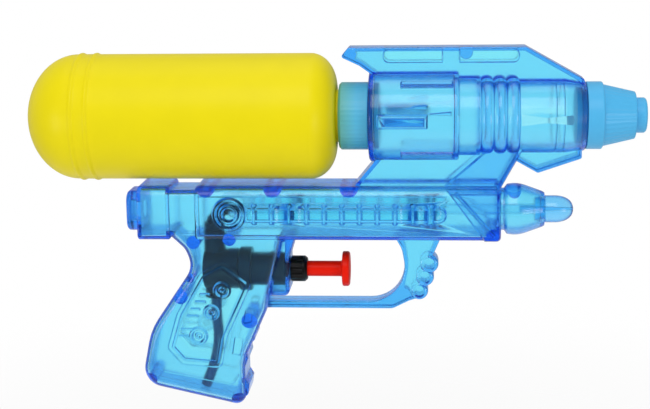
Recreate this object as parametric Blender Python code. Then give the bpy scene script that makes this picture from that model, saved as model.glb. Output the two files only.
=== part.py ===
"""Toy water squirter: two clear half shells, a screw-on tank and a trigger pump.

+X points to the muzzle and +Z up. The near half of the shell lies on -Y. The origin is the middle of the
hand grip, on the plane where the two halves meet. Sizes are in metres.
"""
import math

import bmesh
import bpy
from mathutils import Matrix, Vector

# Walls, clearances and edges
WALL = 0.0018
END_WALL = 0.0020
FIT = 0.0003
SEAM_OVERLAP = 0.0010
CUT_MARGIN = 0.0020
RELIEF_ROOT = 0.0008
EDGE = 0.0008
FINE_EDGE = 0.0004

# Slide: the long lower body, with its rear waist, block and knob
SLIDE_AXIS_Z = 0.0536
SLIDE_HEIGHT = 0.0237
SLIDE_WIDTH = 0.0290
SLIDE_TOP_RADIUS = 0.0050
SLIDE_FOOT_RADIUS = 0.0025
SLIDE_EDGE = 0.0015
SLIDE_REAR_X = -0.0032
SLIDE_LENGTH = 0.1348
WAIST_LENGTH = 0.0112
WAIST_INSET = 0.0018
BLOCK_LENGTH = 0.0146
KNOB_LENGTH = 0.0056
KNOB_HEIGHT = 0.0180
KNOB_WIDTH = 0.0200
KNOB_RADIUS = 0.0050
KNOB_WALL = 0.0045

# Thicker front of the slide and web, bounded by a crease shaped like an arrowhead
FRONT_STEP = 0.0008
FRONT_LENGTH = 0.0221
FRONT_FOOT_LENGTH = 0.0071
FRONT_HEAD_LENGTH = 0.0103

# Relief on the slide's sides: a ring boss and a ribbed rod
RING_BOSS_X = 0.0123
RING_BOSS_RADIUS = 0.0077
RING_BOSS_BORE = 0.0058
RING_BOSS_HEIGHT = 0.0012
INNER_RING_RADIUS = 0.0048
INNER_RING_BORE = 0.0029
INNER_RING_HEIGHT = 0.0010
ROD_HEIGHT = 0.0068
ROD_RELIEF = 0.0012
ROD_LENGTH = 0.0900
RUNG_COUNT = 10
RUNG_PITCH = 0.00775
RUNG_START = 0.0035
RUNG_WIDTH = 0.0026
RUNG_HEIGHT = 0.0094
RUNG_RELIEF = 0.0019
END_RUNG_WIDTH = 0.0042

# Lower muzzle and its nozzle
MUZZLE_LENGTH = 0.0194
MUZZLE_DIAMETER = 0.0236
MUZZLE_ROOT_DIAMETER = 0.0188
MUZZLE_ROOT_LENGTH = 0.0018
MUZZLE_FLARE = 0.0012
MUZZLE_BELLY = 0.0032
MUZZLE_MOUTH_DIAMETER = 0.0148
NOZZLE_DIAMETER = 0.0120
NOZZLE_LENGTH = 0.0124
NOZZLE_STRAIGHT = 0.0043
NOZZLE_SPIGOT_RADIUS = 0.0045
NOZZLE_LIP = 0.0007
NOZZLE_JET_RADIUS = 0.0006

# Upper barrel, turned about its own axis, which the tank sets above the slide
TANK_GAP = 0.00145
REAR_WALL_X = 0.0740
DRUM_LENGTH = 0.0392
DRUM_DIAMETER = 0.0402
NECK_LENGTH = 0.0094
NECK_DIAMETER = 0.0364
RING_COUNT = 3
RING_PITCH = 0.0056
RING_DIAMETER = 0.0368
RING_VALLEY_DIAMETER = 0.0334
FORE_LENGTH = 0.0286
FORE_TAPER = 0.0095
FORE_DIAMETER = 0.0336
FORE_MOUTH_DIAMETER = 0.0296
BARREL_CHAMFER = 0.0014

# Relief on the drum and the fore end
DRUM_RIB_OFFSET = 0.0150
DRUM_RIB_LENGTH = 0.0229
DRUM_RIB_END = 0.0024
DRUM_RIB_HEIGHT = 0.0022
DRUM_RIB_RELIEF = 0.0012
LATCH_START = 0.0038
LATCH_LENGTH = 0.0220
LATCH_HEIGHT = 0.0065
LATCH_RELIEF = 0.0008
LEAF_RISE = 0.0052
LEAF_HEIGHT = 0.0022
LEAF_LENGTH = 0.0105
NEEDLE_RISE = 0.0025
NEEDLE_HEIGHT = 0.0019
NEEDLE_END = 0.0033
STRIP_END = 0.0026
STRIP_HEIGHT = 0.0050
STRIP_WAIST_X = 0.0112
STRIP_WAIST_HEIGHT = 0.0022
STRIP_RELIEF = 0.0006

# Fin over the barrel, keel under it and web down to the slide
FIN_RISE = 0.0306
FIN_WIDTH = 0.0130
FIN_TAIL = 0.0123
FIN_TAIL_SLANT = 0.0035
FIN_TAIL_RISE = 0.0041
FIN_TAIL_DEPTH = 0.0079
FIN_SLOPE_LENGTH = 0.0253
FIN_CHIN_RISE = 0.0163
FIN_SLOT_DEPTH = 0.0007
FIN_SLOT_HEIGHT = 0.0062
FIN_SLOT_LENGTH = 0.0260
FIN_SLOT_START = 0.0062
FIN_SLOT_GAP = 0.0071
FIN_SLOT_TOP = 0.0006
KEEL_WIDTH = 0.0130
KEEL_DEPTH = 0.0078
KEEL_POINT = 0.0083
KEEL_REAR_RISE = 0.0058
KEEL_FRONT_RISE = 0.0064
WEB_WIDTH = 0.0160
WEB_ROOT = 0.0075
WEB_REAR_RAKE = 0.0225
WEB_REAR_FOOT = 0.0125
WEB_FRONT_FOOT = 0.0036
WEB_FRONT_HEAD = 0.0039

# Collar, tank and mouth seal
COLLAR_LENGTH = 0.0129
COLLAR_DIAMETER = 0.0298
COLLAR_CHAMFER = 0.0010
COLLAR_SOCKET_RADIUS = 0.0122
COLLAR_NECK_RADIUS = 0.0117
COLLAR_FLANGE_RADIUS = 0.0146
COLLAR_FLANGE = 0.0020
COLLAR_END_WALL = 0.0012
FLOW_RADIUS = 0.0060
TANK_DIAMETER = 0.0556
TANK_LENGTH = 0.1380
TANK_DOME_LENGTH = 0.0230
TANK_SHOULDER_LENGTH = 0.0115
TANK_SHOULDER_RADIUS = 0.0138
TANK_WALL = 0.0016
TANK_NECK_RADIUS = 0.0116
TANK_NECK_BORE = 0.0096
TANK_NECK_LENGTH = 0.0112
TANK_BAND_PITCH = 0.0064
TANK_BAND_WIDTH = 0.0032
TANK_BAND_RELIEF = 0.0006
SEAL_FLANGE = 0.0012
SEAL_SKIRT = 0.0040

# Nose that closes the upper barrel
NOSE_BASE_LENGTH = 0.0072
NOSE_BASE_DIAMETER = 0.0295
NOSE_CONE_LENGTH = 0.0140
NOSE_CONE_DIAMETER = 0.0270
NOSE_CONE_TIP_DIAMETER = 0.0206
NOSE_TIP_LENGTH = 0.0049
NOSE_TIP_DIAMETER = 0.0154
NOSE_TIP_EDGE = 0.0014
NOSE_SPIGOT_RADIUS = 0.0110
NOSE_FLANGE_RADIUS = 0.0122
NOSE_BORE_RADIUS = 0.0035
NOSE_BORE_DEPTH = 0.0089

# Hand grip, as seen from the side
GRIP_WIDTH = 0.0250
GRIP_RIM = 0.0040
GRIP_BASE_Z = -0.0325
GRIP_BASE_SLOPE = 0.228
GRIP_HEEL_X = -0.0303
GRIP_HEEL_RADIUS = 0.0090
GRIP_TOE_X = 0.0178
GRIP_TOE_RADIUS = 0.0045
GRIP_ROOT_REAR_X = -0.0158
GRIP_ROOT_FRONT_X = 0.0360
GRIP_WEB_X = -0.0085
GRIP_WEB_DROP = 0.0050
GRIP_WEB_RADIUS = 0.0080
GRIP_THUMB_X = -0.0053
GRIP_THUMB_DROP = 0.0133
GRIP_THUMB_RADIUS = 0.0100
GRIP_BACK_X = -0.0254
GRIP_BACK_Z = -0.0010
GRIP_BACK_RADIUS = 0.0300
GRIP_WAIST_X = 0.0170
GRIP_WAIST_Z = -0.0150
GRIP_WAIST_RADIUS = 0.0200
GRIP_FRONT_X = 0.0275
GRIP_FRONT_Z = 0.0085
FINGER_WIDTH = 0.0190
FINGER_ROOT_X = 0.0120
FINGER_FOOT_X = 0.0080
FINGER_FOOT_RISE = 0.0060
FINGER_TOE_RISE = 0.0042
FINGER_TOE_RADIUS = 0.0020
FINGER_STEPS = (
    (0.0190, -0.0264, 0.0012), (0.0172, -0.0235, 0.0010), (0.0172, -0.0180, 0.0010),
    (0.0188, -0.0140, 0.0012), (0.0180, -0.0095, 0.0010), (0.0220, -0.0050, 0.0015),
    (0.0226, 0.0055, 0.0015))

# Relief on the grip's sides: a sunk panel with ring bosses and ribs, and two finger marks
PANEL_DEPTH = 0.0007
PANEL_CORNERS = (
    (0.0066, 0.0302, 0.0030), (-0.0024, 0.0204, 0.0060), (-0.0150, 0.0008, 0.0060),
    (-0.0200, -0.0108, 0.0030), (-0.0147, -0.0140, 0.0030), (0.0040, -0.0172, 0.0025),
    (0.0112, 0.0040, 0.0100), (0.0206, 0.0208, 0.0030))
PANEL_RING_RISE = 0.0004
PANEL_RINGS = ((0.0053, 0.0177, 0.0030, 0.0043), (0.0006, 0.0066, 0.0018, 0.0036),
               (-0.0051, -0.0037, 0.0030, 0.0049))
PANEL_RIB = 0.0012
PANEL_RIBS = (
    (-0.0050, 0.0012, 0.0140), (-0.0080, -0.0034, 0.0100), (-0.0098, -0.0038, 0.0062),
    (-0.0130, -0.0088, 0.0014), (-0.0156, -0.0108, -0.0040), (-0.0172, -0.0110, -0.0078))
FINGER_MARKS = (
    ((0.0175, 0.0099, 0), (0.0157, 0.0030, 0), (0.0205, 0.0017, 0), (0.0215, 0.0090, 0)),
    ((0.0117, -0.0044, 0), (0.0102, -0.0124, 0), (0.0150, -0.0140, 0), (0.0165, -0.0053, 0)))

# Trigger guard, and the boss that holds the pump
GUARD_WIDTH = 0.0100
GUARD_THICKNESS = 0.0034
GUARD_BOTTOM_Z = 0.0086
GUARD_REAR_X = 0.0200
GUARD_FRONT_X = 0.0840
GUARD_CURVE = 0.0110
GUARD_POST_X = 0.0887
GUARD_POST_Z = 0.0280
GUARD_HEAD_REAR_X = 0.0825
GUARD_HEAD_FRONT_X = 0.1058
GUARD_HEEL_RADIUS = 0.0040
GUARD_POST_RADIUS = 0.0100
GUARD_LIP = 0.0037
GUARD_LIP_X = 0.0915
GUARD_NECK_X = 0.1024
GUARD_NECK_Z = 0.0340
GUARD_LUMPS = ((0.0988, 0.0127), (0.1026, 0.0196), (0.1048, 0.0262))
GUARD_WALL = 0.0026
GUARD_ROOM = ((0.0898, 0.0185, 0.0010), (0.0965, 0.0150, 0.0010), (0.0990, 0.0230, 0), (0.0986, 0.0335, 0))
LUMP_RUN = 0.0018
LUMP_RISE = 0.0043
LUMP_HEIGHT = 0.0060
LUMP_RADIUS = 0.0012
ROOT_DEPTH = 0.0033
BOSS_REAR_X = 0.0250
BOSS_FRONT_X = 0.0380
BOSS_WIDTH = 0.0190
BOSS_BOTTOM_Z = 0.0153
BOSS_FLARE = 0.0028
BOSS_FLARE_DROP = 0.0092
BOSS_RADIUS = 0.0026

# Pump, on its own axis inside the grip
PUMP_AXIS_Z = 0.0259
BORE_RADIUS = 0.0053
BORE_REAR_X = 0.0082
PUMP_BARREL_RADIUS = 0.0075
PUMP_FLANGE_RADIUS = 0.0099
PUMP_FLANGE = 0.0033
PUMP_JOINT_X = 0.0172
PUMP_SKIRT = 0.0020
PUMP_SKIRT_WALL = 0.0014
SNOUT_RADIUS = 0.0048
SNOUT_GRIP = 0.0047
VALVE_BLOCK_RADIUS = 0.0092
VALVE_BLOCK_REAR_X = -0.0012
VALVE_BLOCK_CHAMFER = 0.0010
TOWER_X = 0.0036
TOWER_RADIUS = 0.0048
TOWER_DROP = 0.0109
BALL_RADIUS = 0.0020
BALL_CHAMBER_RADIUS = 0.0026
BALL_LIFT = 0.0010
THROAT_RADIUS = 0.0014
INLET_SEAT_DROP = 0.0069
OUTLET_SEAT_RISE = 0.0061
SEAT_CONE = 0.0006
ROD_RADIUS = 0.0035
ROD_REACH = 0.0158
ROD_FLARE = 0.0013
DISC_RADIUS = 0.0079
DISC_THICKNESS = 0.0033
HEAD_FLANGE = 0.0017
HEAD_STEM_RADIUS = 0.0026
HEAD_RETAINER_RADIUS = 0.0034
HEAD_RETAINER = 0.0009
CUP_LENGTH = 0.0029
NUT_RADIUS = 0.00585
NUT_CHAMFER = 0.0012
NUT_END_WALL = 0.0010
NUT_SEAL = 0.0010
SPRING_WIRE = 0.0006
SPRING_RADIUS = 0.0040
SPRING_TURNS = 5.5
SPRING_POINTS = 10

# Tubes and fittings
TUBE_RADIUS = 0.0024
TUBE_BORE = 0.0018
INTAKE_CLEARANCE = 0.0050
INTAKE_LEAN = 0.0058
BARB_RADIUS = 0.0015
BARB_LENGTH = 0.0065
WATERWAY_RADIUS = 0.0008
ELBOW_RADIUS = 0.0034
ELBOW_ARM_RADIUS = 0.0031
ELBOW_REACH = 0.0066
ELBOW_RISE = 0.0096
ELBOW_COLLAR_RADIUS = 0.0046
ELBOW_COLLAR = 0.0032
ELBOW_KNEE_RISE = 0.0005
ELBOW_MOUTH = 0.0030

# Snap posts that pin the two halves together
PIN_RADIUS = 0.0011
PIN_LENGTH = 0.0030
POST_RADIUS = 0.0030
WIDE_POST_RADIUS = 0.0044
POST_INSET = 0.0024
SLIDE_POST_X = (0.0018, 0.0315, 0.0652)
GRIP_POSTS = ((-0.0111, 0.0151), (0.0197, 0.0042))
THUMB_POST = (-0.0067, 0.0237)
HEEL_POST_RUN = 0.0045
TOE_POST_RUN = 0.0039

# Facets
ROUND = 24
MUZZLE_SIDES = 18
SMALL_ROUND = 14
RING_SIDES = 12
BALL_SIDES = 12
BALL_STEPS = 8
POST_SIDES = 8
WATERWAY_SIDES = 8
PIN_SIDES = 6
RING_STEPS = 4
DOME_STEPS = 6
SHOULDER_STEPS = 4
NOZZLE_STEPS = 6
FACET_PHASE = 0.37
ARC_STEP = math.radians(32)
FLAT_ANGLE = math.radians(0.5)
SMOOTH_ANGLE = math.radians(35)

# Stations along Z and Y
slide_top = SLIDE_AXIS_Z + SLIDE_HEIGHT / 2
slide_foot = SLIDE_AXIS_Z - SLIDE_HEIGHT / 2
slide_side = SLIDE_WIDTH / 2
BARREL_AXIS_Z = slide_top + TANK_GAP + TANK_BAND_RELIEF + TANK_DIAMETER / 2
fin_top = BARREL_AXIS_Z + FIN_RISE
web_low = slide_top - WEB_ROOT
web_high = BARREL_AXIS_Z - DRUM_DIAMETER / 4
guard_top = GUARD_BOTTOM_Z + GUARD_THICKNESS
root_z = slide_foot + ROOT_DEPTH
tower_bottom = PUMP_AXIS_Z - TOWER_DROP
tower_top = SLIDE_AXIS_Z - ELBOW_RISE
inlet_seat = PUMP_AXIS_Z - INLET_SEAT_DROP
outlet_seat = PUMP_AXIS_Z + OUTLET_SEAT_RISE

# Stations of the shell along X
slide_front = SLIDE_REAR_X + SLIDE_LENGTH
waist_rear = SLIDE_REAR_X - WAIST_LENGTH
block_rear = waist_rear - BLOCK_LENGTH
knob_rear = block_rear - KNOB_LENGTH
muzzle_front = slide_front + MUZZLE_LENGTH
drum_front = REAR_WALL_X + DRUM_LENGTH
neck_front = drum_front + NECK_LENGTH
rings_front = neck_front + RING_COUNT * RING_PITCH
fore_front = rings_front + FORE_LENGTH
web_front_foot = slide_front - WEB_FRONT_FOOT
web_front_head = rings_front + WEB_FRONT_HEAD
boss_inside = BOSS_FRONT_X - WALL

# Stations of the tank, the pump and the nozzle along X
collar_front = REAR_WALL_X - FIT
collar_rear = collar_front - COLLAR_LENGTH
socket_end = collar_front - COLLAR_END_WALL
tank_mouth = socket_end - SEAL_FLANGE - 2 * FIT
tank_shoulder = tank_mouth - TANK_NECK_LENGTH
tank_rear = tank_shoulder - TANK_LENGTH
snout_rear = boss_inside - FIT
nut_rear = BOSS_FRONT_X + FIT
snout_front = nut_rear + SNOUT_GRIP
nut_step = snout_front + NUT_SEAL + 2 * FIT
nut_front = nut_step + NUT_END_WALL
disc_rear = nut_front + ROD_REACH
bore_front = snout_rear - END_WALL
head_front = bore_front - FIT
cup_front = head_front - HEAD_FLANGE - FIT
cup_rear = cup_front - CUP_LENGTH
head_rear = cup_rear - FIT - HEAD_RETAINER
flange_front = PUMP_JOINT_X + PUMP_FLANGE
elbow_front = TOWER_X + ELBOW_REACH
nozzle_shoulder = muzzle_front + FIT
nozzle_flange_front = muzzle_front - END_WALL - FIT
nozzle_flange_rear = nozzle_flange_front - END_WALL

# Axes, each as a point on it
barrel_axis = (0, 0, BARREL_AXIS_Z)
slide_axis = (0, 0, SLIDE_AXIS_Z)
pump_axis = (0, 0, PUMP_AXIS_Z)
tower_axis = (TOWER_X, 0, 0)
UP = (0, 0, 1)
NEAR = (0, -1, 0)


def grip_base(x):
    """Height of the grip's slanted flat base at x."""
    return GRIP_BASE_Z - GRIP_BASE_SLOPE * x


def web_front(z):
    """Place along X of the web's sloping front edge at height z."""
    return web_front_foot + (web_front_head - web_front_foot) * (z - web_low) / (web_high - web_low)


def clear_scene():
    """Start from an empty scene."""
    for leftover in list(bpy.data.objects):
        bpy.data.objects.remove(leftover, do_unlink=True)


def linear(channel):
    """Turn one sRGB channel to linear light."""
    return channel / 12.92 if channel <= 0.04045 else ((channel + 0.055) / 1.055) ** 2.4


def finish(name, colour, roughness, metallic=0.0, alpha=1.0):
    """Make a Principled material from an sRGB hex colour."""
    material = bpy.data.materials.new(name)
    material.use_nodes = True
    shader = material.node_tree.nodes["Principled BSDF"]
    channels = [linear(int(colour[i:i + 2], 16) / 255) for i in (1, 3, 5)]
    shader.inputs["Base Color"].default_value = (*channels, 1.0)
    shader.inputs["Roughness"].default_value = roughness
    shader.inputs["Metallic"].default_value = metallic
    shader.inputs["Alpha"].default_value = alpha
    return material


def rounded(corners):
    """Turn corners (u, v, radius) of a closed outline into points, with each radius as an arc."""
    points = []
    for index, (u, v, radius) in enumerate(corners):
        corner = Vector((u, v))
        if radius <= 0:
            points.append(corner)
            continue
        before = (Vector(corners[index - 1][:2]) - corner).normalized()
        after = (Vector(corners[(index + 1) % len(corners)][:2]) - corner).normalized()
        half = before.angle(after) / 2
        centre = corner + (before + after).normalized() * radius / math.sin(half)
        start = corner + before * radius / math.tan(half) - centre
        sweep = math.pi - 2 * half
        turn = math.copysign(sweep, before.y * after.x - before.x * after.y)
        steps = max(2, math.ceil(sweep / ARC_STEP))
        for step in range(steps + 1):
            points.append(centre + Matrix.Rotation(turn * step / steps, 2) @ start)
    return points


def inset(corners, depth):
    """Move every side of a closed outline inwards by depth, and its radii with it."""
    flat = [Vector(corner[:2]) for corner in corners]
    area = sum(a.x * b.y - b.x * a.y for a, b in zip(flat, flat[1:] + flat[:1]))
    side = math.copysign(1.0, area)
    moved = []
    for index, corner in enumerate(flat):
        before = (corner - flat[index - 1]).normalized()
        after = (flat[(index + 1) % len(flat)] - corner).normalized()
        inward = side * (Vector((-before.y, before.x)) + Vector((-after.y, after.x)))
        point = corner + inward * depth / (1 + before.dot(after))
        bulge = side * (before.x * after.y - before.y * after.x)
        radius = corners[index][2]
        if radius > 0:
            radius = max(radius - math.copysign(depth, bulge), FIT)
        moved.append((point.x, point.y, radius))
    return moved


def loft(rings):
    """Skin a row of matching rings of points and cap both ends."""
    mesh = bmesh.new()
    loops = []
    for ring in rings:
        verts = [mesh.verts.new(point) for point in ring]
        loops.append([mesh.edges.new(pair) for pair in zip(verts, verts[1:] + verts[:1])])
    for first, second in zip(loops, loops[1:]):
        bmesh.ops.bridge_loops(mesh, edges=first + second)
    for end in (loops[0], loops[-1]):
        bmesh.ops.contextual_create(mesh, geom=end)
    bmesh.ops.recalc_face_normals(mesh, faces=mesh.faces)
    return as_object("loft", mesh)


def rim_levels(rim):
    """Inset and setback pairs that round an edge of radius rim, from the cap to the side."""
    if rim <= 0:
        return [(0.0, 0.0)]
    steps = 2 if rim > WALL else 1
    quarter = [math.pi / 2 * step / steps for step in range(steps + 1)]
    return [(rim * (1 - math.sin(angle)), rim * (1 - math.cos(angle))) for angle in quarter]


def plate(corners, half_width, rim=0.0, reach=SEAM_OVERLAP):
    """Extrude an XZ outline from its side at -half_width to just past the seam, with a rounded rim."""
    rings = []
    for depth, setback in rim_levels(rim):
        outline = rounded(inset(corners, depth) if depth > 0 else corners)
        rings.append([(p.x, setback - half_width, p.y) for p in outline])
    rings.append([(p.x, reach, p.y) for p in rounded(corners)])
    return loft(rings)


def bar(section, start, end, rim=0.0):
    """Extrude a YZ section along X, with both end edges rounded by rim."""
    rings = []
    for depth, setback in rim_levels(rim):
        outline = rounded(inset(section, depth) if depth > 0 else section)
        rings.append([(start + setback, p.x, p.y) for p in outline])
    rings += [[(start + end - x, y, z) for x, y, z in ring] for ring in reversed(rings)]
    return loft(rings)


def turned(profile, origin, axis=(1, 0, 0), sides=ROUND, phase=0.0):
    """Spin a profile of (along, radius) points about an axis through origin, its facets turned by phase."""
    mesh = bmesh.new()
    verts = [mesh.verts.new((along, 0, radius)) for along, radius in profile]
    edges = [mesh.edges.new(pair) for pair in zip(verts, verts[1:])]
    if min(profile[0][1], profile[-1][1]) > 0:
        edges.append(mesh.edges.new((verts[-1], verts[0])))
    bmesh.ops.spin(mesh, geom=verts + edges, cent=(0, 0, 0), axis=(1, 0, 0),
                   angle=math.tau, steps=sides, use_merge=True)
    bmesh.ops.remove_doubles(mesh, verts=mesh.verts, dist=1e-7)
    bmesh.ops.recalc_face_normals(mesh, faces=mesh.faces)
    turn = Vector((1, 0, 0)).rotation_difference(Vector(axis)).to_matrix().to_4x4()
    mesh.transform(Matrix.Translation(origin) @ turn @ Matrix.Rotation(phase * math.tau / sides, 4, "X"))
    return as_object("turned", mesh)


def rod(start, end, radius, origin, axis=(1, 0, 0), sides=SMALL_ROUND):
    """A plain cylinder along an axis through origin, with its facets out of step with its neighbours'."""
    return turned([(start, 0), (start, radius), (end, radius), (end, 0)], origin, axis, sides, FACET_PHASE)


def as_object(name, mesh):
    """Put a bmesh into the scene as an object."""
    data = bpy.data.meshes.new(name)
    mesh.to_mesh(data)
    mesh.free()
    thing = bpy.data.objects.new(name, data)
    bpy.context.scene.collection.objects.link(thing)
    return thing


def combine(target, tools, operation):
    """Apply one Boolean after another to target, and remove the tools."""
    for tool in tools:
        step = target.modifiers.new(tool.name, "BOOLEAN")
        step.solver = "EXACT"
        step.operation = operation
        step.object = tool
    depsgraph = bpy.context.evaluated_depsgraph_get()
    result = bpy.data.meshes.new_from_object(target.evaluated_get(depsgraph))
    target.modifiers.clear()
    target.data = result
    for tool in tools:
        bpy.data.objects.remove(tool, do_unlink=True)
    return target


def join(target, *tools):
    """Union of target and tools."""
    return combine(target, tools, "UNION")


def cut(target, *tools):
    """Target with the tools cut away."""
    return combine(target, tools, "DIFFERENCE")


def part(thing, name, material, centre=(0, 0, 0)):
    """Name a finished piece, shade it, give it its material and put its origin at centre."""
    thing.name = name
    thing.data.name = name
    thing.data.materials.clear()
    thing.data.materials.append(material)
    thing.data.transform(Matrix.Translation(-Vector(centre)))
    thing.location = centre
    thing.data.shade_smooth()
    thing.data.set_sharp_from_angle(angle=SMOOTH_ANGLE)
    return thing


# Outlines of the shell in XZ, as corners with radii
def grip_outline():
    """Side of the hand grip: web for the thumb, straight back, flat base and plain front."""
    return [
        (GRIP_ROOT_REAR_X, SLIDE_AXIS_Z, 0), (GRIP_ROOT_REAR_X, slide_foot + WALL, 0),
        (GRIP_WEB_X, slide_foot - GRIP_WEB_DROP, GRIP_WEB_RADIUS),
        (GRIP_THUMB_X, slide_foot - GRIP_THUMB_DROP, GRIP_THUMB_RADIUS),
        (GRIP_BACK_X, GRIP_BACK_Z, GRIP_BACK_RADIUS),
        (GRIP_HEEL_X, grip_base(GRIP_HEEL_X), GRIP_HEEL_RADIUS),
        (GRIP_TOE_X, grip_base(GRIP_TOE_X), GRIP_TOE_RADIUS),
        (GRIP_WAIST_X, GRIP_WAIST_Z, GRIP_WAIST_RADIUS), (GRIP_FRONT_X, GRIP_FRONT_Z, 0),
        (GRIP_ROOT_FRONT_X, slide_foot + WALL, 0), (GRIP_ROOT_FRONT_X, SLIDE_AXIS_Z, 0),
    ]


def finger_outline():
    """Narrower finger front of the grip, with shallow steps between the fingers."""
    low = grip_base(GRIP_TOE_X)
    return [
        (FINGER_FOOT_X, low + FINGER_FOOT_RISE, 0),
        (GRIP_TOE_X + FINE_EDGE, low + FINGER_TOE_RISE, FINGER_TOE_RADIUS), *FINGER_STEPS,
        (GRIP_FRONT_X - EDGE, GRIP_FRONT_Z, 0), (FINGER_ROOT_X, GRIP_FRONT_Z, 0),
    ]


def guard_outline():
    """Trigger guard: flat strap, curved front and three finger lumps before it."""
    lumps = []
    for x, z in GUARD_LUMPS:
        lumps += [(x, z, LUMP_RADIUS), (x + LUMP_RUN, z + LUMP_RISE, LUMP_RADIUS),
                  (x - LUMP_RUN / 4, z + LUMP_HEIGHT, LUMP_RADIUS / 2)]
    lip = GUARD_BOTTOM_Z + GUARD_LIP
    return [
        (GUARD_REAR_X, GUARD_BOTTOM_Z, 0), (GUARD_FRONT_X, GUARD_BOTTOM_Z, GUARD_HEEL_RADIUS),
        (GUARD_LIP_X, lip, LUMP_RADIUS), *lumps, (GUARD_NECK_X, GUARD_NECK_Z, EDGE),
        (GUARD_HEAD_FRONT_X, slide_foot, 0), (GUARD_HEAD_FRONT_X, root_z, 0),
        (GUARD_HEAD_REAR_X, root_z, 0), (GUARD_POST_X, GUARD_POST_Z, GUARD_POST_RADIUS),
        (GUARD_FRONT_X, guard_top, GUARD_CURVE), (GUARD_REAR_X, guard_top, 0),
    ]


def guard_hollow():
    """Room inside the front of the guard, open to the slide."""
    top, front = root_z + CUT_MARGIN / 2, GUARD_HEAD_FRONT_X - GUARD_WALL
    rear = GUARD_POST_X + FIT
    return [
        (rear, top, 0), (GUARD_POST_X + GUARD_WALL, GUARD_POST_Z + CUT_MARGIN, 0), *GUARD_ROOM,
        (front, slide_foot + WALL, 0), (front, top, 0),
    ]


def boss_outline():
    """The block that holds the pump's front end."""
    top = root_z + CUT_MARGIN / 2
    return [
        (BOSS_REAR_X, top, 0), (BOSS_REAR_X, BOSS_BOTTOM_Z, 0), (BOSS_FRONT_X, BOSS_BOTTOM_Z, BOSS_RADIUS),
        (BOSS_FRONT_X, slide_foot - BOSS_FLARE_DROP, BOSS_RADIUS), (BOSS_FRONT_X + BOSS_FLARE, slide_foot, 0),
        (BOSS_FRONT_X + BOSS_FLARE, top, 0),
    ]


def boss_hollow():
    """The wedge between the grip's slanted front wall and the boss's front wall."""
    low, high = BOSS_BOTTOM_Z + WALL, slide_foot - WALL
    return [
        (GRIP_FRONT_X + CUT_MARGIN + FINE_EDGE, low, 0), (boss_inside, low, BOSS_RADIUS - WALL),
        (boss_inside, high, 0), (GRIP_ROOT_FRONT_X - EDGE, high, 0),
    ]


def fin_outline():
    """Sight fin on top of the barrel, with a pointed tail and a long front slope."""
    tail = REAR_WALL_X - FIN_TAIL
    chin = fore_front - EDGE
    return [
        (tail, fin_top - FIN_TAIL_RISE, EDGE), (tail + FIN_TAIL_SLANT, fin_top, EDGE),
        (chin - FIN_SLOPE_LENGTH, fin_top, SLIDE_EDGE), (chin, BARREL_AXIS_Z + FIN_CHIN_RISE, EDGE),
        (fore_front - END_WALL, BARREL_AXIS_Z, 0), (REAR_WALL_X + 2 * END_WALL, BARREL_AXIS_Z, 0),
        (REAR_WALL_X + SLIDE_EDGE, BARREL_AXIS_Z + DRUM_DIAMETER / 2 - BARREL_CHAMFER, 0),
        (REAR_WALL_X - FIN_TAIL / 3, fin_top - FIN_TAIL_DEPTH, EDGE),
    ]


def keel_outline():
    """Pointed keel under the front of the barrel."""
    root = BARREL_AXIS_Z - FORE_DIAMETER / 4
    lowest = BARREL_AXIS_Z - FORE_DIAMETER / 2 - KEEL_DEPTH
    rear, front = rings_front - CUT_MARGIN, fore_front - BARREL_CHAMFER
    return [
        (rear, lowest + KEEL_REAR_RISE, 0), (rings_front + KEEL_POINT, lowest, EDGE),
        (front, lowest + KEEL_FRONT_RISE, EDGE), (front, root, 0), (rear, root, 0),
    ]


def web_outline():
    """Web that joins the barrel to the slide, with both edges sloping forward."""
    rear = REAR_WALL_X - WEB_REAR_FOOT
    return [
        (rear, web_low, 0), (rear + WEB_REAR_RAKE, web_high, 0),
        (web_front_head, web_high, 0), (web_front_foot, web_low, 0),
    ]


def front_web_outline():
    """The thicker front of the web, ahead of the upper crease."""
    low = slide_top - FINE_EDGE
    return [
        (slide_front - FRONT_LENGTH, low, 0), (web_front_head - FRONT_HEAD_LENGTH, web_high, 0),
        (web_front_head, web_high, 0), (web_front(low), low, 0),
    ]


def front_slide_outline():
    """The thicker front of the slide, ahead of the lower crease."""
    high = slide_top - SLIDE_TOP_RADIUS
    return [
        (slide_front - FRONT_LENGTH, high, 0), (slide_front - FRONT_FOOT_LENGTH, slide_foot, 0),
        (slide_front, slide_foot, SLIDE_FOOT_RADIUS), (slide_front, high, 0),
    ]


def section(half_width, top, bottom, top_radius, bottom_radius, depth):
    """A rounded rectangle in YZ, drawn in by depth on every side."""
    outline = [
        (-half_width, top, top_radius), (-half_width, bottom, bottom_radius),
        (half_width, bottom, bottom_radius), (half_width, top, top_radius),
    ]
    return inset(outline, depth) if depth > 0 else outline


def slide_section(depth):
    """Section of the slide and of the block behind it."""
    return section(slide_side, slide_top, slide_foot, SLIDE_TOP_RADIUS, SLIDE_FOOT_RADIUS, depth)


def knob_section(depth):
    """Section of the rear knob."""
    top, bottom = SLIDE_AXIS_Z + KNOB_HEIGHT / 2, SLIDE_AXIS_Z - KNOB_HEIGHT / 2
    return section(KNOB_WIDTH / 2, top, bottom, KNOB_RADIUS, KNOB_RADIUS, depth)


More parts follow.
